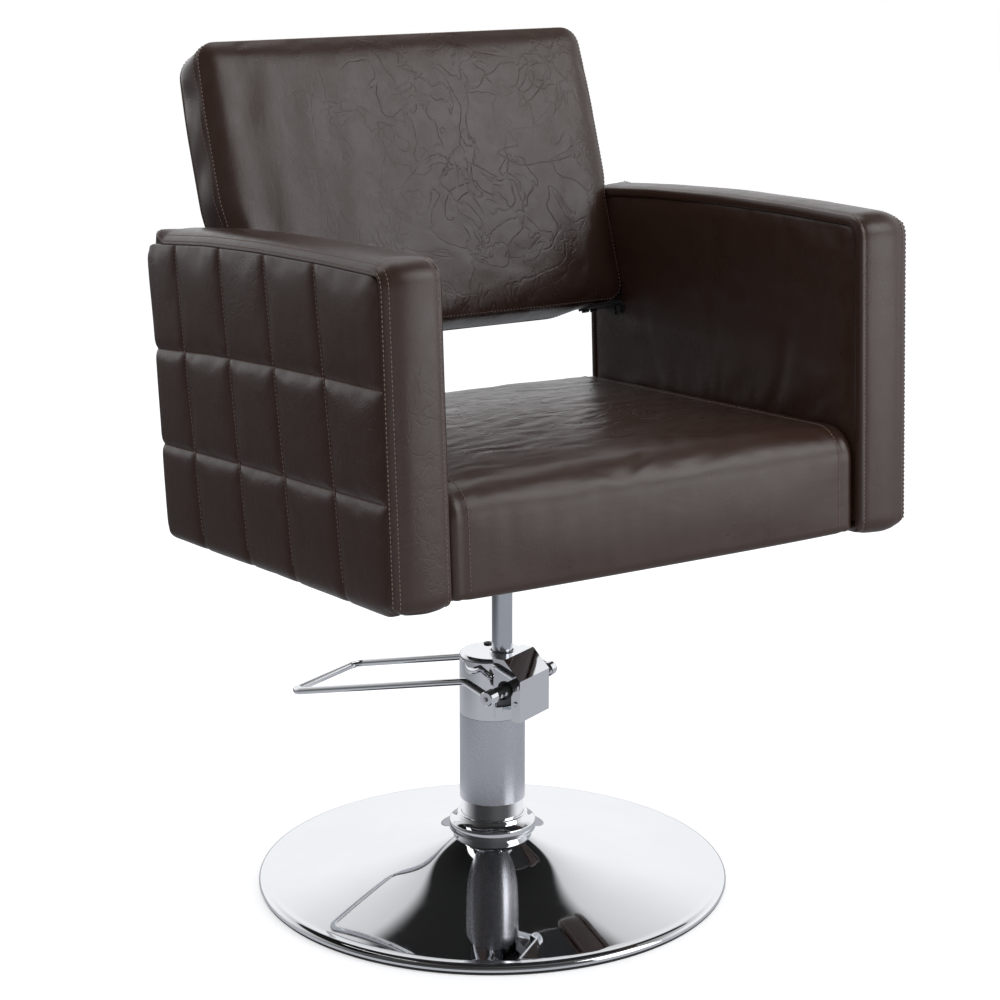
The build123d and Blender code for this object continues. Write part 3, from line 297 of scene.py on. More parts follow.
# ---------------------------------------------------------------- leatherette
def leather(name, creases, waves, wave_scale, crease_size=14.0, crease_scale=(1, 1, 1), where_creased=None):
    """Dark brown leatherette: fine pores, winding creases with painted shade darkening them, and soft waves
    that may be stretched.

    where_creased gives an axis and the two places between which the creases fade in.
    """
    s = Shader.material(name)
    where = s.place()
    cloud = s.noise(where, 7.0, 5.0, 0.6)
    mottle = s.noise(where, 55.0, 4.0, 0.6)
    pores = s.node("TexVoronoi", None, Vector=where, Scale=1100.0, Randomness=1.0)
    # creases are pressed in where a noise crosses its middle, and stronger in some patches
    lines = []
    for size, detail, width in ((crease_size, 3.0, 0.016), (crease_size * 2.3, 2.0, 0.024)):
        field = s.noise(s.place(crease_scale), size, detail, 0.55, 0.9)
        lines.append(s.band(s.math("ABSOLUTE", s.math("SUBTRACT", field, 0.5)), 0.0, width, 1.0, 0.0))
    patch = s.band(s.noise(where, 6.0, 3.0), 0.35, 0.65, 0.25, 1.0)
    if where_creased:
        axis, low, high = where_creased
        along = s.node("SeparateXYZ", None, Vector=where).outputs[axis]
        patch = s.math("MULTIPLY", patch, s.band(along, low, high))
    crease = s.math("MULTIPLY", s.math("MAXIMUM", *lines), patch)
    wave = s.noise(s.place(wave_scale), 30.0, 5.0, 0.6, 0.6)
    dark = s.blend(cloud, (0.028, 0.0125, 0.0080, 1), (0.040, 0.0183, 0.0120, 1))
    worn = s.blend(s.math("MULTIPLY", mottle, 0.45), dark, (0.052, 0.027, 0.018, 1))
    bsdf = s.node("BsdfPrincipled")
    # painted shade: the crease lines are also darkened in the base colour, towards near black
    crease_shade = s.math("MULTIPLY", crease, 0.7 * creases)
    s.feed(bsdf, "Base Color", s.blend(crease_shade, worn, (0.012, 0.006, 0.005, 1)))
    s.feed(bsdf, "Roughness", s.band(s.math("MULTIPLY_ADD", mottle, 0.5, s.math("MULTIPLY", cloud, 0.5)),
                                     0.3, 0.7, 0.26, 0.37))
    bsdf.inputs["IOR"].default_value = 1.55
    height = s.math("MULTIPLY_ADD", crease, -creases, s.math("MULTIPLY", wave, waves))
    broad = s.bump(height, 0.9, 0.0016)
    s.feed(bsdf, "Normal", s.bump(pores.outputs["Distance"], 0.22, 0.00035, broad))
    return s.surface(bsdf.outputs[0])


materials["leather_arm"] = leather("leather_arm", 0.05, 0.15, (1, 1, 0.5))
materials["leather_quilt"] = leather("leather_quilt", 0.06, 0.25, (1, 1, 0.4))
materials["leather_seat"] = leather("leather_seat", 0.4, 0.3, (0.4, 2.0, 0.7), crease_size=10.0,
                                    crease_scale=(0.5, 1.3, 1), where_creased=(1, -0.30, -0.12))
materials["leather_back"] = leather("leather_back", 0.17, 0.25, (1.3, 0.6, 0.4), crease_size=9.0,
                                    where_creased=(0, -0.25, 0.10))
materials["leatherette"] = materials["leather_arm"]


# ---------------------------------------------------------------- the seat's own frame
# Soft pieces are laid out in millimetres in the frame of the seat: X to the sitter's left arm,
# Y to the rear and Z up from the underside of the seat, all leaning back by the seat's tilt.
TILT = math.radians(3.0)
AXES = np.array((
    (1.0, 0.0, 0.0),
    (0.0, math.cos(TILT), -math.sin(TILT)),
    (0.0, math.sin(TILT), math.cos(TILT)),
))
plate_low, plate_high = (np.array(corner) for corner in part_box("mount_plate"))
seat_origin = (plate_low + plate_high) / 2 + 0.0025 * AXES[2]


def to_world(points):
    return seat_origin + np.asarray(points, float) @ AXES / 1000


def mesh_points(mesh):
    flat = np.empty(3 * len(mesh.vertices))
    mesh.vertices.foreach_get("co", flat)
    return flat.reshape(-1, 3)


def node_points(name):
    """The corners of a CAD node in the seat's frame."""
    return (mesh_points(nodes[name].data) - seat_origin) @ AXES.T * 1000


def seat_box(name):
    local = node_points(name)
    return local.min(axis=0), local.max(axis=0)


# the backrest's frame: its foot, and the ways up along it and out of its front face
LEAN = math.radians(16.2)
BACK_UP = np.array((0.0, math.sin(LEAN), math.cos(LEAN)))
BACK_OUT = np.array((0.0, -math.cos(LEAN), math.sin(LEAN)))
BACK_FOOT = np.array((0.0, 110.0, 212.5))


def from_back(x, up, depth):
    """Points of the backrest, given across, up along it and out of its front face."""
    x, up, depth = np.broadcast_arrays(x, up, depth)
    across = np.stack((x, np.zeros_like(x), np.zeros_like(x)), axis=-1)
    return BACK_FOOT + across + up[..., None] * BACK_UP + depth[..., None] * BACK_OUT


# ---------------------------------------------------------------- mesh helpers
def smooth(share):
    share = np.clip(share, 0.0, 1.0)
    return share * share * (3 - 2 * share)


def ripple(points, wavelength, seed, count=14):
    """A smooth random field between about -1 and 1 over points in millimetres."""
    draw = np.random.default_rng(seed)
    ways = draw.normal(size=(count, points.shape[-1]))
    ways /= np.linalg.norm(ways, axis=1)[:, None]
    ways *= (2 * np.pi / (np.asarray(wavelength) * draw.uniform(0.7, 1.5, count)))[:, None]
    return np.cos(points @ ways.T + draw.uniform(0, 2 * np.pi, count)).sum(axis=-1) / math.sqrt(count)


def quads(rows, columns, wrap_rows, wrap_columns, start):
    r = np.arange(rows if wrap_rows else rows - 1)
    c = np.arange(columns if wrap_columns else columns - 1)
    r, c = (a.ravel() for a in np.meshgrid(r, c, indexing="ij"))
    r2, c2 = (r + 1) % rows, (c + 1) % columns
    return start + np.stack((r * columns + c, r2 * columns + c, r2 * columns + c2, r * columns + c2), axis=1)


def grid_normals(points, wrap=(False, False)):
    """Unit normals of a grid of points."""
    def step(axis, around):
        if around:
            return np.roll(points, -1, axis) - np.roll(points, 1, axis)
        return np.gradient(points, axis=axis)
    normals = np.cross(step(0, wrap[0]), step(1, wrap[1]))
    return normals / np.maximum(np.linalg.norm(normals, axis=-1), 1e-9)[..., None]


def round_corners(x, y, a, b, r):
    """Moves points of a rectangle of half sizes a and b so that its corners become arcs of radius r."""
    dx, dy = np.abs(x) - (a - r), np.abs(y) - (b - r)
    inside = (dx > 0) & (dy > 0)
    long = np.hypot(dx, dy)
    pull = np.where(inside, np.maximum(dx, dy) / np.maximum(long, 1e-9), 1.0)
    return (np.where(inside, np.sign(x) * (a - r + dx * pull), x),
            np.where(inside, np.sign(y) * (b - r + dy * pull), y))


WELD = 0.00005
CLOTH_FRAMES = 14


def inflate(points, held, pressure, cap, grow, bending, wrap=(False, False), outward=(0, 0, 1)):
    """Blows a sheet up like stuffed cloth between its held points, as a short cloth simulation.

    cap limits in millimetres how far a point moves, and grow is the share by which the cloth grows.
    """
    rows, columns = points.shape[:2]
    faces = quads(rows, columns, wrap[0], wrap[1], 0)
    if (grid_normals(points, wrap) @ np.asarray(outward, float)).mean() < 0:
        faces = faces[:, ::-1]
    mesh = bpy.data.meshes.new("sheet")
    start = to_world(points.reshape(-1, 3))
    mesh.from_pydata(start.tolist(), [], faces.tolist())
    sheet = bpy.data.objects.new("sheet", mesh)
    scene.collection.objects.link(sheet)
    group = sheet.vertex_groups.new(name="held")
    group.add([int(i) for i in np.flatnonzero(held.ravel())], 1.0, "REPLACE")
    cloth = sheet.modifiers.new("cloth", "CLOTH")
    settings = cloth.settings
    settings.quality = 4
    settings.mass = 0.3
    settings.tension_stiffness = 15
    settings.compression_stiffness = 15
    settings.shear_stiffness = 5
    settings.bending_stiffness = bending
    settings.use_pressure = True
    settings.uniform_pressure_force = pressure
    settings.vertex_group_mass = "held"
    settings.effector_weights.gravity = 0
    settings.shrink_min = -grow
    cloth.collision_settings.use_collision = False
    cloth.point_cache.frame_start = 1
    cloth.point_cache.frame_end = CLOTH_FRAMES
    for number in range(1, CLOTH_FRAMES + 1):
        scene.frame_set(number)
    done = sheet.evaluated_get(bpy.context.evaluated_depsgraph_get())
    moved = (mesh_points(done.data) - start) @ AXES.T * 1000
    bpy.data.objects.remove(sheet)
    bpy.data.meshes.remove(mesh)
    scene.frame_set(1)
    far = np.linalg.norm(moved, axis=1)
    moved *= (cap * np.tanh(far / cap) / np.maximum(far, 1e-9))[:, None]
    return points + moved.reshape(points.shape)


def solid(name, points, faces, material, weld=0.0, sharp=None):
    """A smoothly shaded mesh object in metres, whose edges over an angle may stay sharp."""
    mesh = bpy.data.meshes.new(name)
    mesh.from_pydata(points.tolist(), [], faces.tolist())
    work = bmesh.new()
    work.from_mesh(mesh)
    if weld:
        bmesh.ops.remove_doubles(work, verts=work.verts, dist=weld)
    bmesh.ops.recalc_face_normals(work, faces=work.faces)
    if sharp:
        for edge in work.edges:
            if edge.is_manifold and edge.calc_face_angle() > sharp:
                edge.smooth = False
    work.to_mesh(mesh)
    work.free()
    mesh.polygons.foreach_set("use_smooth", np.ones(len(mesh.polygons), bool))
    mesh.materials.append(material)
    made = bpy.data.objects.new(name, mesh)
    scene.collection.objects.link(made)
    return made


def seat_piece(name, patches, material, weld=0.0):
    """One mesh that rides on the seat, from grids of points (points, wrap rows, wrap columns)."""
    vertices, faces, count = [], [], 0
    for points, wrap_rows, wrap_columns in patches:
        rows, columns = points.shape[:2]
        vertices.append(to_world(points.reshape(-1, 3)))
        faces.append(quads(rows, columns, wrap_rows, wrap_columns, count))
        count += rows * columns
    made = solid(name, np.concatenate(vertices), np.concatenate(faces), material, weld)
    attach(made, "seat")
    return made


def cushion(name, patches, material, cad):
    """A padded piece that stands for a soft CAD node."""
    made = seat_piece(name, patches, material, WELD)
    subdivision = made.modifiers.new("subdivision", "SUBSURF")
    subdivision.levels = subdivision.render_levels = 1
    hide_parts(cad)


def spread(low, high, count, edge=1.6):
    """Numbers from low to high that lie closer together towards both ends."""
    share = np.linspace(-1, 1, count)
    return low + (high - low) * (1 + np.sign(share) * (1 - (1 - np.abs(share)) ** edge)) / 2


def border(rows, columns):
    """The indices round the rim of a grid, in order."""
    top = [(0, c) for c in range(columns - 1)]
    right = [(r, columns - 1) for r in range(rows - 1)]
    bottom = [(rows - 1, c) for c in range(columns - 1, 0, -1)]
    left = [(r, 0) for r in range(rows - 1, 0, -1)]
    ring = np.array(top + right + bottom + left)
    return ring[:, 0], ring[:, 1]


def boxed(front, back, *rings):
    """Grids that close a front onto a back of the same size, over rings of points in between."""
    r, c = border(*front.shape[:2])
    side = np.stack((front[r, c], *rings, back[r, c]), axis=1)
    return [(front, False, False), (side, True, False), (back, False, False)]


STITCH_SIDES = 6
# a stitch's thickness along its length, both as shares
STITCH_FORM = ((0.0, 0.15), (0.06, 0.7), (0.3, 1.0), (0.7, 1.0), (0.94, 0.7), (1.0, 0.15))


def stitch_row(line, normals, pitch=4.6, length=3.1, radius=0.55, sink=-0.15, closed=False):
    """Short sewn stitches along a line that lies on a surface, as a list of grids of points."""
    if closed:
        line, normals = np.vstack((line, line[:1])), np.vstack((normals, normals[:1]))
    steps = np.linalg.norm(np.diff(line, axis=0), axis=1)
    along = np.concatenate(([0], np.cumsum(steps)))
    centres = np.arange(pitch / 2, along[-1], pitch)

    def at(where, values):
        return np.stack([np.interp(where, along, values[:, k]) for k in range(3)], axis=-1)

    ends = [at(centres + side * length / 2, line) for side in (-1, 1)]
    normal = at(centres, normals)
    normal /= np.linalg.norm(normal, axis=1)[:, None]
    way = ends[1] - ends[0]
    way /= np.maximum(np.linalg.norm(way, axis=1), 1e-9)[:, None]
    across = np.cross(way, normal)
    turns = np.linspace(0, 2 * np.pi, STITCH_SIDES, endpoint=False)[None, :, None]
    ring = np.cos(turns) * across[:, None, :] + np.sin(turns) * normal[:, None, :]
    rows = []
    for share, size in STITCH_FORM:
        middle = ends[0] + (ends[1] - ends[0]) * share - normal * (sink + radius * (1 - size))
        rows.append(middle[:, None, :] + radius * size * ring)
    return list(np.stack(rows, axis=1))


# ---------------------------------------------------------------- round base
TURNED_SIDES = 144


def turned(name, profile, cad):
    """A solid of revolution about the column's axis, from (radius, height) points in millimetres."""
    radii, heights = np.array(profile).T
    turns = np.linspace(0, 2 * np.pi, TURNED_SIDES, endpoint=False)
    points = np.stack((radii * np.cos(turns)[:, None], radii * np.sin(turns)[:, None],
                       np.broadcast_to(heights, (TURNED_SIDES, len(heights)))), axis=-1) / 1000
    made = solid(name, points.reshape(-1, 3), quads(TURNED_SIDES, len(heights), True, True, 0),
                 materials["mirror_chrome"], sharp=math.radians(35))
    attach(made, "base")
    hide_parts(cad)


def arc(centre, radii, start, stop, count):
    """Points on a quarter of an ellipse, from one angle to another in degrees."""
    angles = np.radians(np.linspace(start, stop, count))
    return [(centre[0] + radii[0] * math.cos(a), centre[1] + radii[1] * math.sin(a)) for a in angles]


# The dish is a trumpet: a 9 degree cone with a rolled rim, which flares up to the collar.
DISH_NECK, DISH_EDGE = (44.5, 59.4), (266.0, 12.1)
DISH_SLOPE, DISH_FLARE = 0.157, 30.0
DISH_SHEET = 2.5
DISH_BORE = 37.0
RIM_CENTRE = (266.0, 6.0)


def dish_height(radius):
    cone = DISH_EDGE[1] + DISH_SLOPE * (DISH_EDGE[0] - radius)
    flare = DISH_NECK[1] - DISH_EDGE[1] - DISH_SLOPE * (DISH_EDGE[0] - DISH_NECK[0])
    return cone + flare * math.exp((DISH_NECK[0] - radius) / DISH_FLARE)


dish_radii = DISH_NECK[0] + (DISH_EDGE[0] - DISH_NECK[0]) * np.linspace(0, 1, 56) ** 1.5
turned("base_dish", [(DISH_BORE, 60.6), (43.0, 60.4), *((r, dish_height(r)) for r in dish_radii),
                     *arc(RIM_CENTRE, (9.0, 6.2), 80, 0, 9), (275.0, 4.6), (272.6, 4.6),
                     *arc(RIM_CENTRE, (6.6, 3.7), 0, 80, 7),
                     *((r, dish_height(r) - DISH_SHEET) for r in dish_radii[-2::-1]), (DISH_BORE, 57.4)],
       "base_disc")
turned("trim_collar", [(36.7, 61.4), (49.2, 61.4), (50.2, 61.8), (50.5, 62.6), (50.5, 72.4), (50.0, 73.2),
                       (49.2, 73.6), (46.6, 75.0), (44.4, 76.8), (42.6, 79.0), (41.4, 81.4), (40.6, 82.4),
                       (39.6, 82.8), (36.7, 82.8)], "base_collar")


# ---------------------------------------------------------------- arms
class Arm:
    """One arm's side outline: low and top edges may droop or rise a little along it."""

    def __init__(self, side, word, low, top):
        self.side, self.word = side, word
        box_low, box_high = seat_box("arm_band_" + word)
        self.front, self.rear = box_low[1], box_high[1]
        self.inner = min(abs(box_low[0]), abs(box_high[0]))
        self.outer = max(abs(box_low[0]), abs(box_high[0]))
        self.low, self.top = low, top

    def edge(self, y, heights):
        share = (y - self.front) / (self.rear - self.front)
        return np.interp(share, (0, 0.25, 0.5, 0.75, 1), heights)

    def path(self, spacing, r_top=24.0, r_low=12.0):
        """Evenly spaced points round the outline, starting at the middle of the underside."""
        corners = []
        for y, heights, r, turn in ((self.front, self.low, r_low, 180), (self.front, self.top, r_top, 90),
                                    (self.rear, self.top, r_top, 0), (self.rear, self.low, r_low, -90)):
            centre_y = y + (r if y == self.front else -r)
            centre_z = self.edge(centre_y, heights) + (r if heights is self.low else -r)
            angles = np.radians(np.linspace(turn + 90, turn, 9))
            corners.append(np.stack((centre_y + r * np.cos(angles), centre_z + r * np.sin(angles)), axis=1))
        top_y = np.linspace(corners[1][-1, 0], corners[2][0, 0], 30)[1:-1]
        low_y = np.linspace(corners[3][-1, 0], corners[0][0, 0], 30)[1:-1]
        top = np.stack((top_y, self.edge(top_y, self.top)), axis=1)
        low = np.stack((low_y, self.edge(low_y, self.low)), axis=1)
        loop = np.concatenate((low[14:], corners[0], corners[1], top, corners[2], corners[3], low[:14]))
        loop = np.vstack((loop, loop[:1]))
        along = np.concatenate(([0], np.cumsum(np.linalg.norm(np.diff(loop, axis=0), axis=1))))
        count = int(round(along[-1] / spacing))
        where = np.arange(count) * along[-1] / count
        points = np.stack([np.interp(where, along, loop[:, k]) for k in (0, 1)], axis=1)
        tangent = np.roll(points, -1, 0) - np.roll(points, 1, 0)
        tangent = tangent + np.roll(tangent, 1, 0) + np.roll(tangent, -1, 0)
        tangent /= np.linalg.norm(tangent, axis=1)[:, None]
        outward = np.stack((-tangent[:, 1], tangent[:, 0]), axis=1)
        middle = points.mean(axis=0)
        if ((points - middle) * outward).sum() < 0:
            outward = -outward
        return points, outward


STRIP = 12.0
BAND_STEP = 6.4
# across the band from the inner cheek: distance from the inner face, and height above the outline
BAND_PROFILE = (
    (0.0, -12.0), (0.0, -8.0), (0.5, -4.6), (1.9, -1.9), (4.0, -0.4), (6.2, -1.1), (8.2, -0.1), (11.5, 0.9),
    (16.0, 1.6), (22.0, 2.2), (29.0, 2.6), (36.0, 2.6), (42.0, 2.2), (47.0, 1.6), (51.0, 0.7), (54.5, -0.5),
    (57.5, -2.0), (59.4, -3.5), (61.8, -4.6), (64.2, -6.8), (66.0, -9.2), (67.3, -12.0), (67.0, -14.5),
)
INNER_SEAM, STRIP_SEAMS = 5, (17, 20)
# the columns of the band's profile between which it is stuffed
BAND_SOFT = (7, 16)
BAND_BACK = ((62.0, -14.0), (56.0, -8.2), (30.0, -8.2), (10.5, -8.2), (9.0, -12.0))

stitches = {"left": [], "right": []}


def arm_band(arm, seed):
    """The sleeve of leatherette round the front, top, rear and underside of an arm."""
    path, outward = arm.path(BAND_STEP)
    profile = np.array(BAND_PROFILE)
    across, rise = profile[:, 0], profile[:, 1]
    # the broad rounded strip is along the front and the top; below and behind, the edge is tighter
    broad = smooth((outward @ np.array((-0.75, 0.9)) + 0.25) / 0.5)
    outer_part = smooth((across - 50) / 8)
    lift = rise[None, :] * (1 - outer_part[None, :] * (1 - broad[:, None]) * 0.6)
    # the strip is narrower down the front, and the rear face slants back towards the outer side
    ahead = smooth((-outward[:, :1] - 0.3) / 0.5)
    behind = smooth((outward[:, :1] - 0.3) / 0.5)
    slant = 6.0 + 12.0 * smooth((path[:, 1:] - 150) / 150)
    lift = lift * (1 - 0.45 * outer_part * ahead) + slant * behind * np.clip(across / 60, 0, 1) ** 2
    yz = path[:, None, :] + outward[:, None, :] * lift[..., None]
    # behind and below, the band ends under the rolled edge of the quilted side
    tucked = across - np.clip(across - 50, 0, None) * 0.45
    x = arm.side * (arm.inner + tucked[None, :] + (across - tucked)[None, :] * broad[:, None])
    sheet = np.concatenate((x[..., None], yz), axis=-1)
    held = np.zeros(sheet.shape[:2], bool)
    held[:, :BAND_SOFT[0]] = held[:, BAND_SOFT[1]:] = True
    soft = inflate(sheet, held, pressure=0.4, cap=2.5, grow=0.0, bending=4.0, wrap=(True, False))
    # long shallow folds that run down from the top of the front face
    flat = np.stack((across[None, :] * np.ones(len(path))[:, None],
                     np.arange(len(path))[:, None] * BAND_STEP * np.ones(len(across))[None, :] / 7), axis=-1)
    free = smooth((across - 8) / 10) * smooth((56 - across) / 10)
    fold = ripple(flat, 26.0, seed) * 0.16 + ripple(flat * (1, 3.2), 15.0, seed + 1) * 0.06
    normal = np.concatenate((np.zeros(outward.shape[:1] + (1,)), outward), axis=1)
    soft = soft + normal[:, None, :] * (fold * free)[..., None]
    back = np.array(BAND_BACK)
    inside = path[:, None, :] + outward[:, None, :] * back[None, :, 1:2]
    back_x = np.broadcast_to((arm.side * (arm.inner + back[:, 0]))[None, :, None], inside.shape[:2] + (1,))
    tube = np.concatenate((soft, np.concatenate((back_x, inside), axis=-1)), axis=1)
    cushion("arm_sleeve_" + arm.word, [(tube, True, True)], materials["leather_arm"],
            "arm_band_" + arm.word)
    normals = grid_normals(tube, (True, True))
    if (normals[:, len(across) // 2] * normal).sum() < 0:
        normals = -normals
    stitches[arm.word].extend(stitch_row(tube[:, INNER_SEAM], normals[:, INNER_SEAM], closed=True))
    # the two rows along the strip run only where it is broad, over the front and the top
    sewn = broad > 0.6
    strip = (int(np.argmax(sewn)) + np.arange(int(sewn.sum()))) % len(path)
    for seam in STRIP_SEAMS:
        stitches[arm.word].extend(stitch_row(tube[strip, seam], normals[strip, seam]))


# the quilting: seam lines across the outer side, and how far the upright ones lean
QUILT_Y = (-201.0, -93.0, 11.0, 121.0)
QUILT_Z = (99.0, 211.0)
QUILT_LEAN = 0.118
QUILT_MID_Z = 165.0
QUILT_RISE = 0.020
QUILT_TOP = 326.0
QUILT_STEP = 6.2
QUILT_ROLL = 10.0
QUILT_DEEP = 3.6
FURROW = 14.0


def quilt_panel(arm, seed):
    """The padded outer side of an arm: three rows of five pads between sewn seams."""
    front, rear = arm.front + 7.5, arm.rear + 12.0
    spare = QUILT_ROLL * (math.pi / 2 - 1)
    y_lines = [front, *QUILT_Y, rear + spare]
    z_lines = [-spare, *QUILT_Z, QUILT_TOP]
    y_shares, z_shares, y_seams, z_seams = [], [], [0], [0]
    for lines, shares, seams in ((y_lines, y_shares, y_seams), (z_lines, z_shares, z_seams)):
        for low, high in zip(lines, lines[1:]):
            count = int(round((high - low) / QUILT_STEP)) + 4
            shares.extend(spread(low, high, count, 1.6)[:-1])
            seams.append(len(shares))
        shares.append(lines[-1])
    y, z = np.meshgrid(np.array(y_shares), np.array(z_shares), indexing="ij")
    # the rear and lower edges roll round towards the inside
    y_left = np.clip((y_lines[-1] - y) / QUILT_ROLL, 0, math.pi / 2)
    z_left = np.clip((z - z_lines[0]) / QUILT_ROLL, 0, math.pi / 2)
    y_rolled = np.where(y_left < math.pi / 2, rear - QUILT_ROLL * (1 - np.cos(y_left)), y)
    z_rolled = np.where(z_left < math.pi / 2, QUILT_ROLL * (1 - np.cos(z_left)), z)
    dip = QUILT_ROLL * np.minimum(1, np.hypot(1 - np.sin(y_left), 1 - np.sin(z_left)))
    mid_y, mid_z = (front + rear) / 2, QUILT_TOP / 2
    half_y, half_z = (rear - front) / 2, QUILT_TOP / 2
    # between the ends of the panel the upright seams lean, and the level ones rise to the front
    mid_share = np.clip(1 - np.abs((y_rolled - mid_y) / half_y) ** 6, 0, 1)
    flat_y = y_rolled + mid_share * (z - QUILT_MID_Z) * QUILT_LEAN
    inner_rows = np.clip(1 - np.abs((z_rolled - mid_z) / half_z) ** 6, 0, 1)
    flat_z = z_rolled - inner_rows * (y - mid_y) * QUILT_RISE
    ry, rz = round_corners(flat_y - mid_y, flat_z - mid_z, half_y, half_z, 17.0)
    ry, rz = ry + mid_y, rz + mid_z
    rz = rz + (arm.edge(ry, arm.top) - STRIP - 1.0 - QUILT_TOP) * smooth(rz / QUILT_TOP)
    rz = rz + (arm.edge(ry, arm.low) - 3.0) * (1 - smooth(rz / 90))
    # the rear edge leans back towards the top
    ry = ry + 8.0 * smooth((ry - 130) / 80) * smooth((rz - 150) / 150)
    rows, columns = y.shape
    held = np.zeros((rows, columns), bool)
    for seam in y_seams:
        held[min(seam, rows - 1), :] = True
    for seam in z_seams:
        held[:, min(seam, columns - 1)] = True
    held[-2:, :] = held[:, :2] = True
    # the pads are full up to a narrow furrow along each seam
    pillow = np.ones_like(y)
    for line in y_lines[:-1]:
        pillow = pillow * (1 - (1 - np.clip(np.abs(y - line) / FURROW, 0, 1)) ** 3)
    for line in z_lines[1:]:
        deep = 0.5 if line == QUILT_TOP else 1.0
        pillow = pillow * (1 - deep * (1 - np.clip(np.abs(z - line) / FURROW, 0, 1)) ** 3)
    crown = 1 - (np.abs((ry - mid_y) / half_y) ** 8 + np.abs((rz - mid_z) / half_z) ** 8) / 2
    slack = ripple(np.stack((ry, rz * 0.5), axis=-1), 55.0, seed) * 0.3 * pillow
    out = -QUILT_DEEP + pillow * QUILT_DEEP + crown * 2.2 + slack - dip
    x = arm.side * (arm.outer + out)
    sheet = np.stack((x, ry, rz), axis=-1)
    soft = inflate(sheet, held, pressure=0.8, cap=2.5, grow=0.001, bending=1.0, outward=(arm.side, 0, 0))
    back = np.stack((np.full_like(ry, arm.side * (arm.outer - 16.0)), ry, rz), axis=-1)
    cushion("arm_quilting_" + arm.word, boxed(soft, back), materials["leather_quilt"],
            "arm_outer_panel_" + arm.word)
    normals = np.broadcast_to(np.array((arm.side, 0.0, 0.0)), soft.shape)
    for seam in y_seams[1:-1]:
        stitches[arm.word].extend(stitch_row(soft[seam, 6:], normals[seam, 6:], sink=-0.7))
    for seam in z_seams[1:-1]:
        stitches[arm.word].extend(stitch_row(soft[:-6, seam], normals[:-6, seam], sink=-0.7))


def lining_panel(arm, seed):
    """The plain inner side of an arm, lightly padded."""
    margin, low, high = 9.0, 2.0, 327.0
    front, rear = arm.front + margin, arm.rear - margin
    y, z = np.meshgrid(np.linspace(front, rear, 72), np.linspace(low, high, 48), indexing="ij")
    mid_y, mid_z = (front + rear) / 2, (low + high) / 2
    ry, rz = round_corners(y - mid_y, z - mid_z, (rear - front) / 2, (high - low) / 2, 14.0)
    ry, rz = ry + mid_y, rz + mid_z
    share = smooth((rz - low) / (high - low))
    to_top, to_low = arm.edge(ry, arm.top) - margin - high, arm.edge(ry, arm.low) + margin - low
    rz = rz + to_top * share + to_low * (1 - share)
    rim = np.minimum(np.minimum(y - front, rear - y), np.minimum(z - low, high - z))
    out = -2.6 + 2.4 * smooth(rim / 12)
    # it lies flat against the seat, and is a little fuller above it
    above = smooth((z - 118) / 60) * smooth(rim / 45)
    x = arm.side * (arm.inner - out - 0.6 * above)
    sheet = np.stack((x, ry, rz), axis=-1)
    held = (rim < 1.0) | (z < 112)
    soft = inflate(sheet, held, pressure=0.12, cap=1.5, grow=0.004, bending=1.0, outward=(-arm.side, 0, 0))
    waves = ripple(np.stack((y, z * 1.6), axis=-1), 60.0, seed) * 0.3 * above
    soft = soft - np.array((arm.side, 0, 0)) * waves[..., None]
    back = np.stack((np.full_like(ry, arm.side * (arm.inner + 10.0)), ry, rz), axis=-1)
    cushion("arm_lining_" + arm.word, boxed(soft, back), materials["leather_arm"],
            "arm_inner_panel_" + arm.word)


arms = (
    Arm(-1, "left", (-6, -7, -8, -11, -13), (335.5, 339, 340, 338, 331)),
    Arm(1, "right", (-6, -6, -7, -8, -9), (337, 344, 348, 348, 344)),
)
for number, arm in enumerate(arms):
    arm_band(arm, 20 + number)
    quilt_panel(arm, 30 + number)
    lining_panel(arm, 40 + number)


# ---------------------------------------------------------------- seat cushion
SEAT_COLUMNS = 76
# distances from the seat pad's sides, and how far the rounded edge there lies below the top
SEAT_EDGE = np.array((0.0, 0.2, 1.6, 4.2, 8.0, 12.0))
SEAT_DROP = np.array((-16.0, -9.5, -5.0, -2.2, -0.6, -0.2))
SEAT_SEAM = 15.0
SEAM_DIP = -1.2


def turn(centre_y, centre_z, r, start, stop, count):
    """Points on a rounded edge of the seat pad, without the first."""
    angles = np.radians(np.linspace(start, stop, count))[1:]
    return [(centre_y + r * math.cos(a), centre_z + r * math.sin(a)) for a in angles]


def seat_outline(front, rear, top, r_front=34.0, r_rear=14.0):
    """The pad's outline from under its rear edge over the top to under its front edge, and the ways out."""
    points = [(rear - 9.5, 0.3), (rear - 3, 0.3)]
    points += [(rear, z) for z in np.linspace(4, top - r_rear, 12)]
    points += turn(rear - r_rear, top - r_rear, r_rear, 0, 90, 5)
    points += [(y, top) for y in np.linspace(rear - r_rear, front + r_front, 66)[1:]]
    points += turn(front + r_front, top - r_front, r_front, 90, 180, 11)
    points += [(front, z) for z in np.linspace(top - r_front, 1, 15)[1:]]
    points = np.array(points + [(front + 3, -2.5), (front + 9.5, -2.5)])
    tangent = np.gradient(points, axis=0)
    tangent /= np.linalg.norm(tangent, axis=1)[:, None]
    outward = np.stack((tangent[:, 1], -tangent[:, 0]), axis=1)
    return points, outward if outward[len(points) // 2, 1] > 0 else -outward


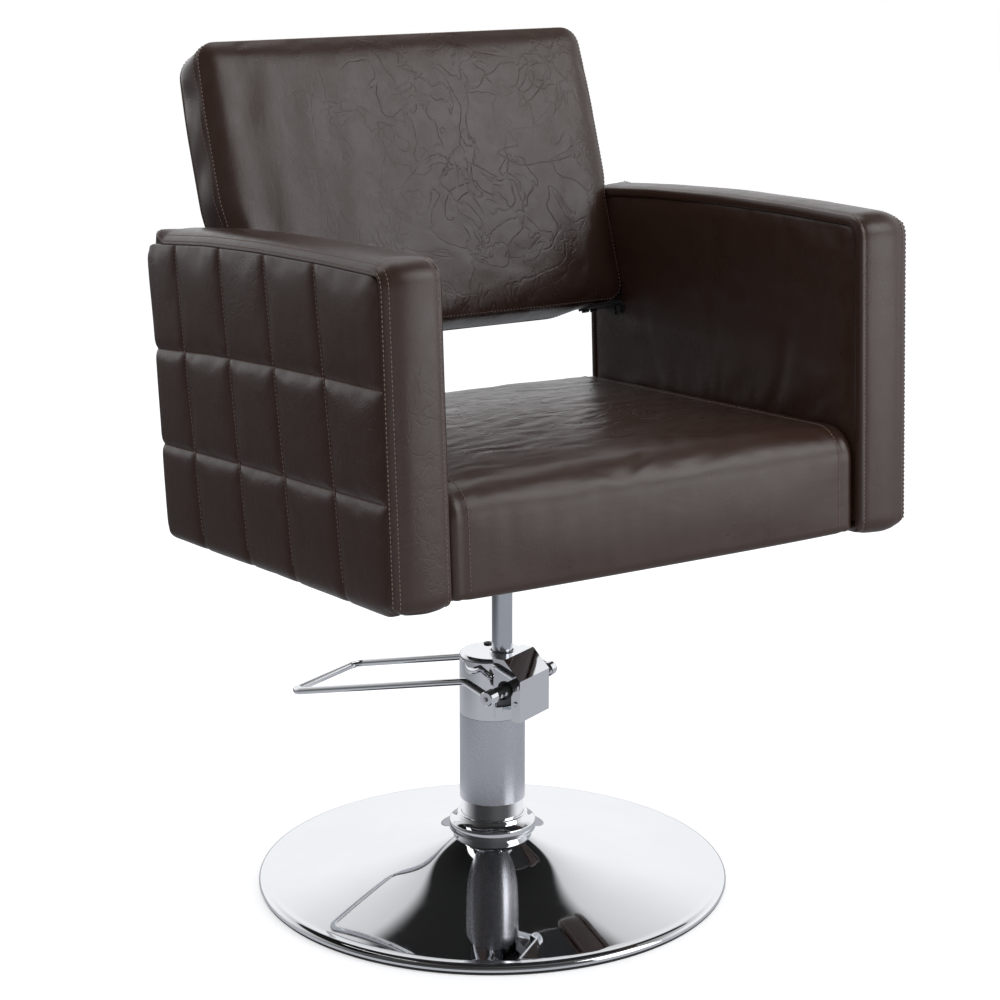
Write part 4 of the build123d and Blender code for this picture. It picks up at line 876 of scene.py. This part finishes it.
def seat_pad():
    low, high = seat_box("seat_cushion")
    frame_low, frame_high = seat_box("seat_frame")
    board_top = seat_box("seat_board")[1][2] + 0.3
    half, front, rear = high[0], low[1], high[1]
    upper, outward = seat_outline(front, rear, high[2])
    seam = half - SEAT_SEAM
    edge = half - SEAT_EDGE
    x = np.concatenate((-edge, np.linspace(-seam, seam, SEAT_COLUMNS), edge[::-1]))
    rise = np.concatenate((SEAT_DROP, np.zeros(SEAT_COLUMNS), SEAT_DROP[::-1]))
    sides = len(SEAT_EDGE)
    rise[sides] = rise[-sides - 1] = SEAM_DIP
    crown_x = 1 - np.abs(x / half) ** 3
    y, z = upper[:, 0], upper[:, 1]
    on_top = smooth((z - 70) / 40)
    crown_y = np.clip(1 - np.abs((y - (front + rear) / 2) / ((rear - front) / 2)) ** 4, 0, 1)
    height = rise[None, :] + crown_x[None, :] * (2.0 + 5.0 * on_top * crown_y)[:, None]
    yz = upper[:, None, :] + outward[:, None, :] * height[..., None]
    sheet = np.concatenate((np.broadcast_to(x[None, :, None], yz.shape[:2] + (1,)), yz), axis=-1)
    held = np.zeros(sheet.shape[:2], bool)
    held[:3] = held[-3:] = True
    held[:, :sides + 1] = held[:, -sides - 1:] = True
    soft = inflate(sheet, held, pressure=0.2, cap=4.0, grow=0.0, bending=4.0)
    # creases run across the top, and soft folds run down the front
    along = np.concatenate(([0], np.cumsum(np.linalg.norm(np.diff(upper, axis=0), axis=1))))
    flat = np.stack(np.broadcast_arrays(x[None, :], along[:, None]), axis=-1)
    bent = flat + np.stack((ripple(flat, 90.0, 54), ripple(flat, 70.0, 55)), axis=-1) * 9.0
    across = ripple(bent @ np.array(((0.25, 0.18), (0.0, 1.0))), 24.0, 51) * 0.42
    down = ripple(flat * (1.0, 0.2), 30.0, 53) * 0.22
    free = smooth((seam - np.abs(x)) / 30)[None, :]
    lift = across * on_top[:, None] * free + down * ((1 - on_top) * smooth((z - 5) / 20))[:, None] * free
    normal = np.concatenate((np.zeros((len(outward), 1)), outward), axis=1)
    soft = soft + normal[:, None, :] * lift[..., None]
    # underside: a skirt round a pocket that holds the timber
    skirt = frame_high[0]
    pocket = np.array([(front + 9.6, -2.5), (frame_low[1] - 0.2, -2.5), (frame_low[1] - 0.2, board_top),
                       (frame_high[1] + 0.2, board_top), (frame_high[1] + 0.2, 0.3), (rear - 9.6, 0.3)])
    plain = pocket.copy()
    plain[2:4, 1] = (-2.5, 0.3)
    under = np.where((np.abs(x) < skirt)[None, :, None], pocket[:, None, :], plain[:, None, :])
    under_x = x.copy()
    for column, past_skirt in ((5, 0.2), (4, 0.6)):
        under_x[column], under_x[-column - 1] = -skirt - past_skirt, skirt + past_skirt
    under = np.concatenate((np.broadcast_to(under_x[None, :, None], under.shape[:2] + (1,)), under), axis=-1)
    loop = np.concatenate((soft, under), axis=0)
    shares = np.linspace(0, 1, 8)[None, :, None]
    caps = []
    for column in (0, -1):
        first, last = loop[:len(loop) // 2, column], loop[::-1][:len(loop) // 2, column]
        caps.append((first[:, None, :] + (last - first)[:, None, :] * shares, False, False))
    cushion("seat_pad", [(loop, True, False)] + caps, materials["leather_seat"], "seat_cushion")
    normals = grid_normals(soft)
    if normals[len(soft) // 2, :, 2].mean() < 0:
        normals = -normals
    rows = []
    for column, beside in ((7, 9), (-8, -10)):
        line = soft[4:-3, column] + (soft[4:-3, beside] - soft[4:-3, column]) * 0.1
        rows.extend(stitch_row(line, normals[4:-3, column]))
    return rows


seat_stitches = seat_pad()


# ---------------------------------------------------------------- backrest
def back_box(name):
    local = node_points(name) - BACK_FOOT
    points = np.stack((local[:, 0], local @ BACK_UP, local @ BACK_OUT), axis=1)
    return points.min(axis=0), points.max(axis=0)


BACK_HALF, BACK_TALL = back_box("back_cushion")[1][:2]
BACK_THICK = -back_box("back_panel")[0][2]
BACK_CENTRE = BACK_FOOT + BACK_UP * BACK_TALL / 2
BACK_COLUMNS, BACK_ROWS = 78, 54


def back_ring(inset, depth, u, v):
    """Across and up for shares u and v of the backrest's outline at a depth, drawn in by an inset."""
    deep = np.clip(-depth / BACK_THICK, 0, 1)
    r = max(6.0, 22.0 + 8.0 * deep - inset)
    half_up = BACK_TALL / 2 - inset
    x, up = round_corners(u * (BACK_HALF - inset), v * half_up, BACK_HALF - inset, half_up, r)
    up = up + BACK_TALL / 2
    # above the arms the cushion swells a little past them
    x = x * (1 + 0.018 * smooth((up - 120) / 40) * smooth((BACK_TALL + 30 - up) / 130))
    up = up + 2.0 * smooth((up - 250) / 80) * (1 + 0.5 * x / BACK_HALF)
    # the underside slopes down to the rear between the steel angles
    between = 1 - smooth((np.abs(x) - 175) / 45)
    up = up + (1 - smooth(up / 70)) * (2.0 * (1 - deep) - 8.5 * deep * between)
    return x, up


def back_grid(inset, depth_of):
    u, v = np.meshgrid(spread(-1, 1, BACK_COLUMNS, 1.5), spread(-1, 1, BACK_ROWS, 1.5), indexing="ij")
    x, up = back_ring(inset, depth_of(0.0, 0.0, 0.0) if callable(depth_of) else depth_of, u, v)
    rim = np.minimum((1 - np.abs(u)) * BACK_HALF, (1 - np.abs(v)) * BACK_TALL / 2)
    depth = depth_of(u, v, rim) if callable(depth_of) else np.full_like(x, depth_of)
    return u, v, rim, from_back(x, up, depth)


def ring_patch(rings):
    """The side of a cushion as rings of points round the backrest's outline."""
    u, v = np.meshgrid(spread(-1, 1, BACK_COLUMNS, 1.5), spread(-1, 1, BACK_ROWS, 1.5), indexing="ij")
    r, c = border(*u.shape)
    made = []
    for inset, depth in rings:
        x, up = back_ring(inset, depth, u[r, c], v[r, c])
        made.append(from_back(x, up, np.full_like(x, depth)))
    return np.stack(made, axis=1)


# the rings of the backrest's side, as inset and depth, and the two of them that are sewn
BOXING = ((1.0, -5.8), (1.5, -7.0), (0.6, -8.8), (-0.4, -13.0), (-1.2, -22.0), (-1.4, -32.0), (-0.9, -42.0),
          (0.1, -50.0), (1.2, -55.0), (2.4, -57.6), (6.0, -57.6), (6.5, -47.6), (14.0, -47.3), (14.0, -34.8))
BOXING_SEAMS = (4, 9)


def back_pad():
    def front_depth(u, v, rim):
        crown = (1 - np.abs(u) ** 3) * (1 - np.abs(v) ** 3)
        return -5.0 + 6.5 * (1 - (1 - np.clip(rim / 24, 0, 1)) ** 2.6) + 2.0 * crown

    u, v, rim, sheet = back_grid(0.0, front_depth)
    held = np.zeros(u.shape, bool)
    held[0] = held[-1] = True
    held[:, 0] = held[:, -1] = True
    soft = inflate(sheet, held, pressure=0.14, cap=4.0, grow=0.001, bending=3.0, outward=BACK_OUT)
    local = soft - BACK_FOOT
    across, up = local[..., 0], local @ BACK_UP
    flat = np.stack((across, up), axis=-1)
    free = smooth(rim / 30)
    lean_waves = ripple(flat @ np.array(((1.0, 0.12), (-0.12, 0.25))), 60.0, 61) * 0.6
    left = smooth((60 - across) / 160)
    soft = soft + BACK_OUT * (lean_waves * free * left)[..., None]
    branches = 1 - np.abs(ripple(flat, 55.0, 62) + 0.4 * ripple(flat, 25.0, 63))
    soft = soft - BACK_OUT * (0.6 * smooth((branches - 0.5) / 0.5) * free * (1 - left))[..., None]
    r, c = border(*u.shape)
    boxing = np.concatenate((soft[r, c][:, None, :], ring_patch(BOXING)), axis=1)
    # between its two seams the side swells a little here and there
    swell = ripple(boxing, 45.0, 64)[..., None] * (boxing - BACK_CENTRE) / 300
    ease = np.zeros(boxing.shape[1])
    ease[slice(*BOXING_SEAMS)] = (0.5, 1.0, 1.0, 0.8, 0.4)
    boxing = boxing + swell * ease[None, :, None] * 1.6
    back = back_grid(*BOXING[-1])[3]
    cushion("back_pad", [(soft, False, False), (boxing, True, False), (back, False, False)],
            materials["leather_back"], "back_cushion")
    face_normal = grid_normals(soft)
    if (face_normal @ BACK_OUT).mean() < 0:
        face_normal = -face_normal
    inner = soft[1:-1, 1:-1]
    r, c = border(*inner.shape[:2])
    rows = stitch_row(inner[r, c], face_normal[1:-1, 1:-1][r, c], closed=True, sink=0.0)
    ring = boxing[:, BOXING_SEAMS[0] + 1]
    side_normal = np.cross(np.roll(ring, -1, 0) - np.roll(ring, 1, 0), BACK_OUT)
    side_normal /= np.linalg.norm(side_normal, axis=1)[:, None]
    if (side_normal * (ring - BACK_CENTRE)).sum() < 0:
        side_normal = -side_normal
    for seam in BOXING_SEAMS:
        rows.extend(stitch_row(boxing[:, seam], side_normal, closed=True))
    return rows


COVER_SIDE = ((2.0, -60.6), (1.6, -59.2), (2.6, -58.0), (7.0, -57.8), (7.2, -48.0))


def back_cover():
    def rear_depth(u, v, rim):
        edge = 1 - (1 - np.clip(rim / 16, 0, 1)) ** 2.2
        return -(BACK_THICK - 0.5) - 1.6 * edge - 1.5 * (1 - u ** 4) * (1 - v ** 4)

    u, v, rim, sheet = back_grid(3.0, rear_depth)
    held = np.zeros(u.shape, bool)
    held[:2] = held[-2:] = True
    held[:, :2] = held[:, -2:] = True
    soft = inflate(sheet, held, pressure=0.15, cap=3.0, grow=0.004, bending=2.0, outward=-BACK_OUT)
    flat = np.stack((u * BACK_HALF, v * BACK_TALL / 2), axis=-1)
    soft = soft - BACK_OUT * (ripple(flat, 90.0, 71) * 0.5 * smooth(rim / 40))[..., None]
    r, c = border(*u.shape)
    side = np.concatenate((soft[r, c][:, None, :], ring_patch(COVER_SIDE)), axis=1)
    inside = back_grid(*COVER_SIDE[-1])[3]
    cushion("back_cover", [(soft, False, False), (side, True, False), (inside, False, False)],
            materials["leather_arm"], "back_panel")
    inner = soft[2:-2, 2:-2]
    seam = inner[border(*inner.shape[:2])]
    return stitch_row(seam, np.broadcast_to(-BACK_OUT, seam.shape), closed=True)


back_stitches = back_pad() + back_cover()
for name, rows in (("arm_stitching_left", stitches["left"]), ("arm_stitching_right", stitches["right"]),
                   ("seat_stitching", seat_stitches), ("back_stitching", back_stitches)):
    seat_piece(name, [(tube, False, True) for tube in rows], materials["thread"])

# ---------------------------------------------------------------- CAD nodes that stay
for name, node in nodes.items():
    # the photo shows the backrest's screws black
    slot = "black_steel" if name.startswith("back_screws") else node_slots[name]
    node.data.materials.clear()
    node.data.materials.append(materials[slot])
